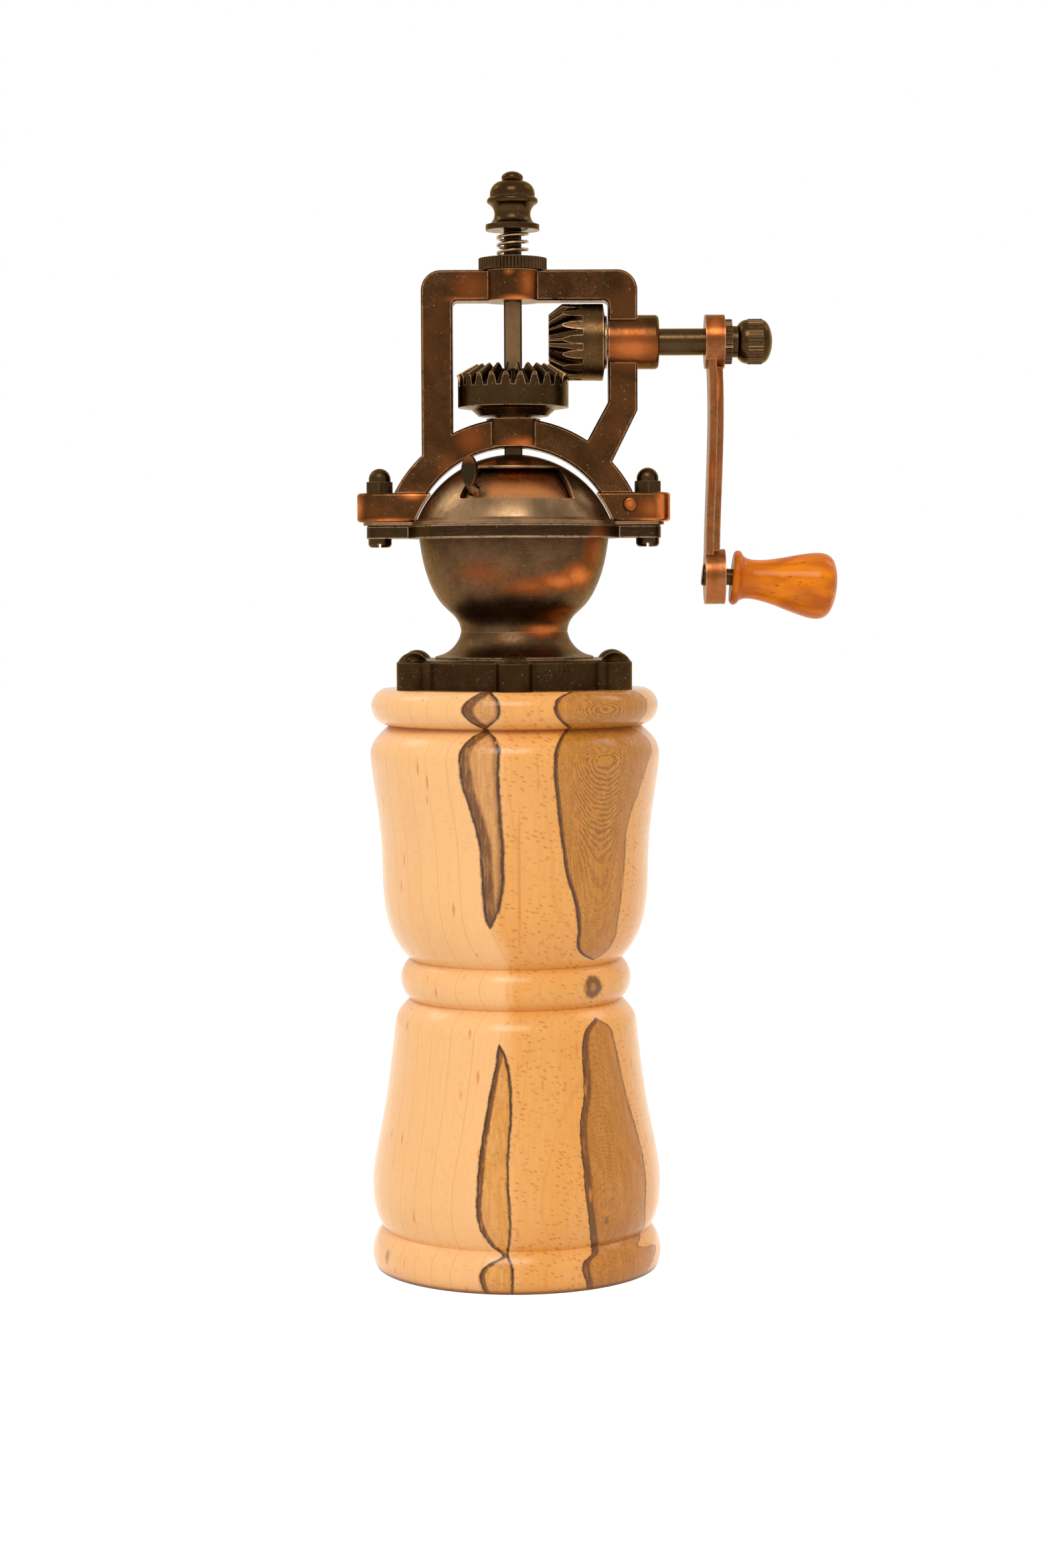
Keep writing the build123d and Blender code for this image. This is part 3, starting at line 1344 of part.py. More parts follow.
with BuildPart() as grip_pin:
    with BuildSketch(pin_head_plane):
        Circle(grip_pin_head_radius)
    extrude(amount=-grip_pin_head_height)
    fillet(grip_pin.edges().sort_by(Axis.X)[0], 0.6 * grip_pin_head_height)
    with BuildSketch(pin_head_plane):
        Circle(grip_pin_radius)
    extrude(amount=grip_hole_end + running_gap - pin_seat)
    with BuildSketch(grip_section.offset(grip_hole_end + running_gap)):
        Circle(grip_pin_end_radius)
    extrude(amount=grip_pin_end_height)
grip_pin.part.label = "grip_pin"
export_step(grip_pin.part, "parts/grip_pin.step")

# ---------------------------------------------------------------- grip
with BuildPart() as grip:
    with BuildSketch(grip_plane):
        with BuildLine():
            Line((grip_gap, 0), (grip_gap, 0.9 * grip_flange_radius))
            ThreePointArc(
                (grip_gap, 0.9 * grip_flange_radius),
                (grip_gap + grip_flange_length / 2, grip_flange_radius),
                (grip_gap + grip_flange_length, 0.9 * grip_flange_radius),
            )
            Spline(
                (grip_gap + grip_flange_length, 0.9 * grip_flange_radius),
                (grip_gap + grip_neck_place, grip_neck_radius),
                (grip_gap + grip_bulge_place, grip_bulge_radius),
                (grip_gap + grip_length - grip_end_bulge, grip_end_radius),
                tangents=((0.6, -1), (0.5, -1)),
            )
            Spline(
                (grip_gap + grip_length - grip_end_bulge, grip_end_radius),
                (grip_gap + grip_length - 0.3 * grip_end_bulge, 0.55 * grip_end_radius),
                (grip_gap + grip_length, 0),
                tangents=((0.5, -1), (0, -1)),
            )
            Line((grip_gap + grip_length, 0), (grip_gap, 0))
        make_face()
    revolve(axis=grip_axis)
    with BuildSketch(grip_section.offset(grip_gap)):
        Circle(grip_pin_radius + running_gap)
    extrude(amount=grip_length, mode=Mode.SUBTRACT)
    with BuildSketch(grip_section.offset(grip_hole_end)):
        Circle(grip_end_recess_radius)
    extrude(amount=grip_end_recess_depth + 1, mode=Mode.SUBTRACT)
grip.part.label = "grip"
export_step(grip.part, "parts/grip.step")
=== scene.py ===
"""The hand-cranked seed mill: the finishes of its pieces, and the white studio that it stands in.

Lengths in the finishes are millimetres in the mill's own frame: the axis of the spindle is Z, the front
looks along -Y and the crank is on +X. Azimuths are degrees from the front, growing towards the crank.
"""

import logging
import math
from dataclasses import dataclass, field
from enum import Enum
from functools import reduce
from typing import Any, Iterable, Sequence, Union

import bmesh
import bpy
from mathutils import Matrix, Vector


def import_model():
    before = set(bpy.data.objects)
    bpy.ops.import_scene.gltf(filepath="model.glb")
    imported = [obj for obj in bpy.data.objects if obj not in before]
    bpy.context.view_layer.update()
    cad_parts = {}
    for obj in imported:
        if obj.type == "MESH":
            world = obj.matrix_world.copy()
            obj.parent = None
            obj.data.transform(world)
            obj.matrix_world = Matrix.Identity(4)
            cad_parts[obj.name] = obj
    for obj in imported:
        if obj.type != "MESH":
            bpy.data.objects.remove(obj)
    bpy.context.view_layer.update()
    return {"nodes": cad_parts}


LOG = logging.getLogger("seed_mill")
Colour = tuple[float, float, float]
Point = tuple[float, float, float]
Knots = Sequence[tuple[float, float]]
MM = 0.001
JAR_HEIGHT = 125.2
FULL_TURN = 360
SEAM_SPAN = 60
WHITE: Colour = (1.0, 1.0, 1.0)
WARM_EDGE: Colour = (0.92, 0.74, 0.54)


class Steps(Enum):
    """How a colour ramp runs between two of its stops."""

    EASED = "EASE"


class Grain(Enum):
    """The way that brush marks run on a metal part."""

    ROUND_AXIS = (0.25, 0.25, 9.0)
    ALONG_AXIS = (9.0, 9.0, 0.35)
    EVEN = (3.0, 3.0, 3.0)


# ---------------------------------------- shader maths
class Wire:
    """An output socket of a node, with the arithmetic of shader maths."""

    def __init__(self, paint: "Nodes", socket: bpy.types.NodeSocket) -> None:
        """Keep the socket and the tree of nodes that it belongs to.

        Args:
            paint: The nodes in the making.
            socket: The output that this wire starts at.
        """
        self.paint = paint
        self.socket = socket

    def maths(self, operation: str, *others: Union["Wire", float], clamp: bool = False) -> "Wire":
        """Add one Math node that works on this wire.

        Args:
            operation: The Math node's operation.
            others: The second and third value, wires or numbers.
            clamp: Whether the result is held between 0 and 1.

        Returns:
            The result as a wire.
        """
        settings = {"operation": operation, "use_clamp": clamp}
        inputs = {place: value for place, value in enumerate((self, *others))}
        return self.paint.node("ShaderNodeMath", settings, inputs)

    def _reflected(self, operation: str, other: float) -> "Wire":
        """Add a Math node with a number first and this wire second."""
        return self.paint.node("ShaderNodeMath", {"operation": operation}, {0: other, 1: self})

    def __add__(self, other: Union["Wire", float]) -> "Wire":
        """Sum of two values."""
        return self.maths("ADD", other)

    __radd__ = __add__

    def __sub__(self, other: Union["Wire", float]) -> "Wire":
        """Difference of two values."""
        return self.maths("SUBTRACT", other)

    def __rsub__(self, other: float) -> "Wire":
        """A number less this value."""
        return self._reflected("SUBTRACT", other)

    def __mul__(self, other: Union["Wire", float]) -> "Wire":
        """Product of two values."""
        return self.maths("MULTIPLY", other)

    __rmul__ = __mul__

    def __truediv__(self, other: Union["Wire", float]) -> "Wire":
        """Quotient of two values."""
        return self.maths("DIVIDE", other)

    def __rtruediv__(self, other: float) -> "Wire":
        """A number divided by this value."""
        return self._reflected("DIVIDE", other)

    def __abs__(self) -> "Wire":
        """Size of this value without its sign."""
        return self.maths("ABSOLUTE")

    def held(self) -> "Wire":
        """This value held between 0 and 1."""
        return self.maths("ADD", 0.0, clamp=True)

    def lower(self, other: Union["Wire", float]) -> "Wire":
        """The lower of two values."""
        return self.maths("MINIMUM", other)

    def higher(self, other: Union["Wire", float]) -> "Wire":
        """The higher of two values."""
        return self.maths("MAXIMUM", other)

    def wave(self) -> "Wire":
        """Sine of this value, moved to between 0 and 1."""
        return self.maths("SINE") * 0.5 + 0.5

    def rise(self, low: float, high: float, to_low: float = 0.0, to_high: float = 1.0) -> "Wire":
        """Ease smoothly from one number to another as this value goes from low to high.

        Args:
            low: Where the rise starts.
            high: Where it ends.
            to_low: The result at low.
            to_high: The result at high.

        Returns:
            The eased value.
        """
        settings = {"interpolation_type": "SMOOTHSTEP"}
        inputs = {"Value": self, "From Min": low, "From Max": high, "To Min": to_low, "To Max": to_high}
        return self.paint.node("ShaderNodeMapRange", settings, inputs, "Result")

    def fall(self, low: float, high: float) -> "Wire":
        """Ease from 1 down to 0 as this value goes from low to high."""
        return self.rise(low, high, 1.0, 0.0)

    def curve(self, knots: Knots) -> "Wire":
        """Look this value up on a smooth curve.

        Args:
            knots: Points of the curve, both their numbers between 0 and 1.

        Returns:
            The curve's height.
        """
        return self.paint.node("ShaderNodeFloatCurve", {"knots": knots}, {"Value": self}, "Value")

    def ramp(self, stops: Sequence[tuple[float, Colour]], steps: Steps) -> "Wire":
        """Turn this value into a colour.

        Args:
            stops: Places between 0 and 1 with their colours.
            steps: How the ramp runs between stops.

        Returns:
            The colour as a wire.
        """
        settings = {"interpolation": steps, "stops": stops}
        return self.paint.node("ShaderNodeValToRGB", settings, {"Fac": self}, "Color")


class Nodes:
    """A tree of nodes in the making."""

    def __init__(self, tree: bpy.types.NodeTree, output: str) -> None:
        """Empty the tree and give it its output.

        Args:
            tree: The tree.
            output: Blender's name of the output's type.
        """
        self.tree = tree
        self.tree.nodes.clear()
        self.output = self.node(output, output=None)

    def node(self, kind: str, settings: dict[str, Any] | None = None, inputs: dict | None = None,
             output: Union[str, int, None] = 0) -> Any:
        """Add a node to the tree.

        Args:
            kind: Blender's name of the node's type.
            settings: Properties set before the sockets, with "stops" for a ramp and "knots" for a curve.
            inputs: Values or wires by the socket's name or number.
            output: The output to hand back, or None for the node itself.

        Returns:
            A wire from the chosen output, or the node.
        """
        made = self.tree.nodes.new(kind)
        for key, value in (settings or {}).items():
            if key == "stops":
                self._set_stops(made.color_ramp, value)
            elif key == "knots":
                self._set_knots(made.mapping, value)
            elif key == "interpolation":
                made.color_ramp.interpolation = value.value
            else:
                setattr(made, key, value)
        for key, value in (inputs or {}).items():
            if isinstance(value, Wire):
                self.tree.links.new(value.socket, made.inputs[key])
            else:
                made.inputs[key].default_value = value
        return made if output is None else Wire(self, made.outputs[output])

    @staticmethod
    def _set_stops(ramp: bpy.types.ColorRamp, stops: Sequence[tuple[float, Colour]]) -> None:
        """Give a colour ramp its stops, in place of the two that it starts with."""
        while len(ramp.elements) < len(stops):
            ramp.elements.new(1.0)
        for element, (where, colour) in zip(ramp.elements, stops):
            element.position = where
            element.color = (*colour, 1.0)

    @staticmethod
    def _set_knots(mapping: bpy.types.CurveMapping, knots: Knots) -> None:
        """Give a float curve its points, in place of the two that it starts with."""
        points = mapping.curves[0].points
        points[0].location, points[1].location = knots[0], knots[-1]
        for knot in knots[1:-1]:
            points.new(*knot)
        mapping.update()

    def show(self, surface: Wire) -> None:
        """Link a shader to the tree's output."""
        self.tree.links.new(surface.socket, self.output.inputs["Surface"])

    def seen(self) -> Wire:
        """1 for rays from the camera and from gloss and glass, 0 for the rest."""
        rays = self.node("ShaderNodeLightPath", output=None)
        camera, glossy, glass = (Wire(self, rays.outputs[name]) for name in
                                 ("Is Camera Ray", "Is Glossy Ray", "Is Transmission Ray"))
        return camera.higher(glossy).higher(glass)


class Paint(Nodes):
    """One material in the making, with the coordinates that its finish is drawn in."""

    def __init__(self, name: str) -> None:
        """Make the material, its shader, and the place of a point in millimetres."""
        self.material = bpy.data.materials.new(name)
        self.material.use_nodes = True
        super().__init__(self.material.node_tree, "ShaderNodeOutputMaterial")
        self.shader = self.node("ShaderNodeBsdfPrincipled", output=None)
        self.show(self.surface)
        metres = self.node("ShaderNodeTexCoord", output="Object")
        self.place = self.vector("SCALE", metres, Scale=1000.0)
        parts = self.node("ShaderNodeSeparateXYZ", inputs={"Vector": self.place}, output=None)
        self.x, self.y, self.z = (Wire(self, parts.outputs[axis]) for axis in "XYZ")

    @property
    def surface(self) -> Wire:
        """The shader's output."""
        return Wire(self, self.shader.outputs["BSDF"])

    def vector(self, operation: str, first: Wire, second: Union[Wire, Point, None] = None,
               output: Union[str, int] = 0, **named: float) -> Wire:
        """Add a Vector Math node.

        Args:
            operation: The node's operation.
            first: The first vector.
            second: The second vector, where the operation has one.
            output: The output to hand back.
            named: Values of sockets by name.

        Returns:
            The result as a wire.
        """
        inputs: dict = {0: first, **named}
        if second is not None:
            inputs[1] = second
        return self.node("ShaderNodeVectorMath", {"operation": operation}, inputs, output)

    def join(self, x: Union[Wire, float], y: Union[Wire, float], z: Union[Wire, float]) -> Wire:
        """Make a vector of three values."""
        return self.node("ShaderNodeCombineXYZ", inputs={"X": x, "Y": y, "Z": z})

    def noise(self, scale: float, stretch: Point = (1.0, 1.0, 1.0), detail: float = 3.0, rough: float = 0.55,
              at: Wire | None = None, bend: float = 0.0) -> Wire:
        """Soft noise over the object.

        Args:
            scale: Features per millimetre.
            stretch: Factors on the three coordinates.
            detail: Number of finer layers.
            rough: Weight of the finer layers.
            at: The place to look at, where it isn't the object's own.
            bend: How far the noise distorts itself.

        Returns:
            The noise, between 0 and 1.
        """
        where = self.vector("MULTIPLY", at or self.place, stretch)
        inputs = {"Vector": where, "Scale": scale, "Detail": detail, "Roughness": rough, "Distortion": bend}
        return self.node("ShaderNodeTexNoise", {"noise_dimensions": "3D"}, inputs, 0)

    def cells(self, scale: float, stretch: Point = (1.0, 1.0, 1.0), at: Wire | None = None) -> Wire:
        """Distance to scattered points, for flecks, pores and specks.

        Args:
            scale: Points per millimetre.
            stretch: Factors on the three coordinates.
            at: The place to look at, where it isn't the object's own.

        Returns:
            The distance to the nearest point.
        """
        where = self.vector("MULTIPLY", at or self.place, stretch)
        inputs = {"Vector": where, "Scale": scale}
        return self.node("ShaderNodeTexVoronoi", {"feature": "F1"}, inputs, "Distance")

    def mix(self, share: Union[Wire, float], first: Union[Wire, Colour], second: Union[Wire, Colour],
            blend: str = "MIX") -> Wire:
        """Mix two colours.

        Args:
            share: How much of the second colour shows.
            first: The colour at 0.
            second: The colour at 1.
            blend: Blender's name for the way of mixing.

        Returns:
            The mixed colour.
        """
        def full(colour: Union[Wire, Colour]) -> Union[Wire, tuple]:
            """Give a plain colour its fourth number."""
            return colour if isinstance(colour, Wire) else (*colour, 1.0)

        settings = {"data_type": "RGBA", "blend_type": blend, "clamp_factor": True}
        return self.node("ShaderNodeMix", settings, {0: share, 6: full(first), 7: full(second)}, 2)

    def spot(self, centre: Point, reach: Point, ragged: Wire, torn: float = 0.7) -> Wire:
        """A soft patch that is 1 at its centre and fades to 0 near its reach.

        Args:
            centre: The middle of the patch, in millimetres.
            reach: Its half sizes along the three axes.
            ragged: Noise that breaks the patch's outline.
            torn: How far it is broken.

        Returns:
            The patch as a mask.
        """
        scaled = self.vector("DIVIDE", self.vector("SUBTRACT", self.place, centre), reach)
        return (self.vector("LENGTH", scaled, output="Value") + (ragged - 0.5) * torn).fall(0.0, 1.0)

    def azimuth(self) -> Wire:
        """Azimuth of the point in degrees from the front, growing towards the crank."""
        return self.x.maths("ARCTAN2", self.y * -1.0) * math.degrees(1)

    def edges(self, width: float) -> Wire:
        """Where the surface turns sharply within a distance.

        Args:
            width: The distance in millimetres.

        Returns:
            A mask that is 1 on an edge.
        """
        round_normal = self.node("ShaderNodeBevel", {"samples": 6}, {"Radius": width * MM})
        flat_normal = self.node("ShaderNodeNewGeometry", output="Normal")
        alike = self.vector("DOT_PRODUCT", round_normal, flat_normal, output="Value")
        return (1.0 - alike).rise(0.002, 0.06)

    def hollows(self, reach: float) -> Wire:
        """Where the surface lies in a corner or under another piece.

        Args:
            reach: How far away the other piece may be, in millimetres.

        Returns:
            A mask that is 1 deep in a corner.
        """
        settings = {"samples": 6}
        return 1.0 - self.node("ShaderNodeAmbientOcclusion", settings, {"Distance": reach * MM}, "AO")

    def bump(self, height: Wire, depth: float, after: Wire | None = None) -> Wire:
        """Roughen the surface.

        Args:
            height: The relief, between 0 and 1.
            depth: Its depth in millimetres.
            after: A bump that this one is added to.

        Returns:
            The bent normal.
        """
        inputs: dict = {"Height": height, "Strength": 1.0, "Distance": depth * MM}
        if after is not None:
            inputs["Normal"] = after
        return self.node("ShaderNodeBump", None, inputs, "Normal")

    def finish(self, **sockets: Union[Wire, float, Colour]) -> bpy.types.Material:
        """Set the shader's sockets and hand back the material.

        Args:
            sockets: Values or wires by the socket's name, with _ for a space.

        Returns:
            The finished material.
        """
        for key, value in sockets.items():
            socket = self.shader.inputs[key.replace("_", " ")]
            if isinstance(value, Wire):
                self.tree.links.new(value.socket, socket)
            elif isinstance(value, tuple):
                socket.default_value = (*value, 1.0)
            else:
                socket.default_value = value
        return self.material


# ---------------------------------------- wood
@dataclass
class JarPlace:
    """Where a point lies in the jar: the coordinates that its wood is drawn in."""

    paint: Paint
    ring_azimuth: float
    height: Wire = field(init=False)
    reach: Wire = field(init=False)
    azimuth: Wire = field(init=False)
    drawn: Wire = field(init=False)
    depth: Wire = field(init=False)
    across: Wire = field(init=False)

    def __post_init__(self) -> None:
        """Work the coordinates out, with drawn as the azimuth that the uneven borders follow."""
        paint = self.paint
        self.height = paint.z / JAR_HEIGHT
        self.reach = paint.vector("LENGTH", paint.join(paint.x, paint.y, 0.0), output="Value")
        self.azimuth = paint.azimuth()
        wander = paint.noise(0.16, (1.0, 1.0, 0.5), 2.0) - 0.5
        ragged = paint.noise(1.3, (1.0, 1.0, 0.6), 3.0, 0.7) - 0.5
        self.drawn = self.azimuth + wander * 2.2 + ragged * 1.5
        turn = math.radians(self.ring_azimuth)
        self.depth = paint.x * math.sin(turn) - paint.y * math.cos(turn)
        self.across = paint.x * math.cos(turn) + paint.y * math.sin(turn)


@dataclass(frozen=True)
class Mark:
    """A round mark on the jar, such as a knot, at a distance from the jar's axis."""

    azimuth: float
    height: float
    half_width: float
    half_height: float
    radius: float

    def mask(self, paint: Paint) -> Wire:
        """Draw the mark.

        Args:
            paint: The material in the making.

        Returns:
            A mask that is 1 at the middle.
        """
        turn = math.radians(self.azimuth)
        centre = (self.radius * math.sin(turn), -self.radius * math.cos(turn), self.height)
        ragged = paint.noise(1.2, detail=2.0) * 0.35
        offset = paint.vector("SUBTRACT", paint.place, centre)
        scaled = paint.vector("DIVIDE", offset, (self.half_width, self.half_width, self.half_height))
        return (1.0 - paint.vector("LENGTH", scaled, output="Value") + ragged - 0.1).held()


@dataclass(frozen=True)
class SpaltFigure:
    """One stained figure in the jar's wood, between two borders that are given by height and azimuth."""

    name: str
    left: Knots
    right: Knots
    fill: Colour
    stain: float
    band: float
    line: float = 0.3
    right_line: float = 1.0
    behind: bool = False

    @staticmethod
    def border(knots: Knots, height: Wire) -> Wire:
        """Azimuth of a border at a height, which is a share of the jar's whole."""
        scaled = [(up / JAR_HEIGHT, (turn + FULL_TURN) / (2 * FULL_TURN)) for up, turn in knots]
        return height.curve(scaled) * (2 * FULL_TURN) - FULL_TURN

    def masks(self, place: JarPlace) -> tuple[Wire, Wire, Wire]:
        """Draw the figure.

        Args:
            place: Where a point lies in the jar.

        Returns:
            How far inside the figure a point is, its inner dark band, and its border line.
        """
        around = place.azimuth.maths("WRAP", 360.0, 0.0) if self.behind else place.azimuth
        azimuth = around + (place.drawn - place.azimuth)
        arc = place.reach * math.radians(1)
        from_left = (azimuth - self.border(self.left, place.height)) * arc
        from_right = (self.border(self.right, place.height) - azimuth) * arc
        inside = from_left.lower(from_right).rise(-0.12, 0.18)
        band = from_left.fall(0.7 * self.band, 1.15 * self.band)
        other_band = from_right.fall(0.0, 0.6 * self.band) * self.right_line
        line = abs(from_left).fall(0.0, self.line) * from_right.rise(-0.4, 0.0)
        other_line = abs(from_right).fall(0.0, self.line) * from_left.rise(-0.4, 0.0) * self.right_line
        LOG.info("drew the %s", self.name)
        return inside, inside * band.higher(other_band), line.higher(other_line)


FIGURES = (
    SpaltFigure(
        "upper tongue",
        left=((0, 4), (70, -2), (75, -8.6), (76.7, -11.2), (80, -12.6), (87.1, -13.6), (94.1, -14.8),
              (101.7, -18.2), (105.9, -20.8), (109.2, -21.2), (112.6, -21.4), (114.1, -20.3),
              (116.3, -16.6), (117.6, -12.6), (118.4, -14.8), (119.5, -17.7), (121.8, -20.4),
              (123.4, -18.6), (125.2, -14.0)),
        right=((0, -24), (70, -20), (75, -13.4), (76.7, -10.4), (78, -9.0), (80.9, -6.6), (84.4, -5.3),
              (89.1, -5.0), (96.8, -5.4), (103.8, -5.8), (110.7, -6.4), (114.1, -6.3), (116, -8.2),
              (117.6, -11.8), (118.5, -9.6), (120.2, -6.2), (122.2, -5.6), (123.6, -6.6), (125.2, -10.0)),
        fill=(0.62, 0.275, 0.075), stain=0.85, band=2.6, line=0.6,
    ),
    SpaltFigure(
        "upper field",
        left=((0, 60), (66, 50), (68.2, 44), (69, 38.5), (70.4, 32.5), (71.9, 29.8), (76, 28.2),
              (80.6, 26.2), (88, 21.6), (96.7, 18.8), (103, 16.8), (109.3, 15.2), (113.8, 16.2),
              (116.2, 20.4), (117.6, 23.4), (118.8, 20.0), (120.2, 16.9), (122.9, 16.0), (124.4, 19.0),
              (125.2, 24.0)),
        right=((0, 20), (66, 34), (68.2, 41), (69.2, 46), (71.1, 50.2), (77.7, 50.4), (81.9, 51.1),
              (88.9, 53), (97.5, 53.6), (105.4, 60.5), (109.7, 64.5), (112.9, 69.9), (115.1, 70.2),
              (116.8, 66), (118.8, 61.6), (120.9, 64.3), (124.3, 63.6), (125.2, 60)),
        fill=(0.52, 0.198, 0.020), stain=0.95, band=0.8, line=0.5, right_line=0.45,
    ),
    SpaltFigure(
        "lower tongue",
        left=((0, -11.6), (1.2, -13.0), (3.6, -14.0), (5.4, -12.8), (6.8, -9.6), (7.9, -5.6), (9.2, -8.6),
              (10.6, -11.0), (12.7, -13.3), (15.7, -14.9), (24.1, -14.8), (34.5, -13.3), (41.7, -11.0),
              (48, -8.2), (51.8, -7.0), (54, -3), (60, 6), (125.2, 20)),
        right=((0, -1.8), (4.3, -1.7), (6.3, -2.0), (8.2, -3.6), (11.1, -2.5), (16.8, -2.8), (24.3, -3.5),
              (32.6, -3.0), (40, -2.4), (45.4, -2.8), (49.5, -4.8), (51.8, -7.6), (54, -11), (60, -20),
              (125.2, -40)),
        fill=(0.72, 0.295, 0.045), stain=0.85, band=1.1, line=0.5,
    ),
    SpaltFigure(
        "lower field",
        left=((0, 29), (2, 27.7), (6.2, 27.2), (7.4, 31.4), (11.6, 30.3), (17.4, 28.2), (23.6, 27.5),
              (31.2, 27.4), (35.3, 28.2), (39, 30.6), (43.5, 31.8), (47.5, 31.6), (51.5, 32.2),
              (54.2, 34.6), (55.6, 40), (57.4, 48), (62, 56), (125.2, 66)),
        right=((0, 60), (3.2, 69), (5.5, 74), (6.8, 58), (8.5, 64.5), (14.7, 61.5), (24, 62.6),
              (29.6, 61.7), (37, 58.2), (43, 55.4), (49.8, 52.3), (54.2, 49.4), (55.6, 45), (57.4, 38),
              (62, 26), (125.2, 10)),
        fill=(0.50, 0.180, 0.016), stain=0.95, band=1.8, line=0.32, right_line=0.6,
    ),
    SpaltFigure(
        "back field",
        left=((0, 148), (8, 145), (22, 141), (40, 150), (52, 158), (60, 151), (70, 142), (90, 137),
              (108, 131), (118, 138), (125.2, 135)),
        right=((0, 178), (8, 186), (22, 192), (40, 182), (52, 172), (60, 184), (70, 191), (90, 198),
              (108, 205), (118, 193), (125.2, 199)),
        fill=(0.52, 0.198, 0.020), stain=0.9, band=1.6, line=0.45, right_line=0.8, behind=True,
    ),
)


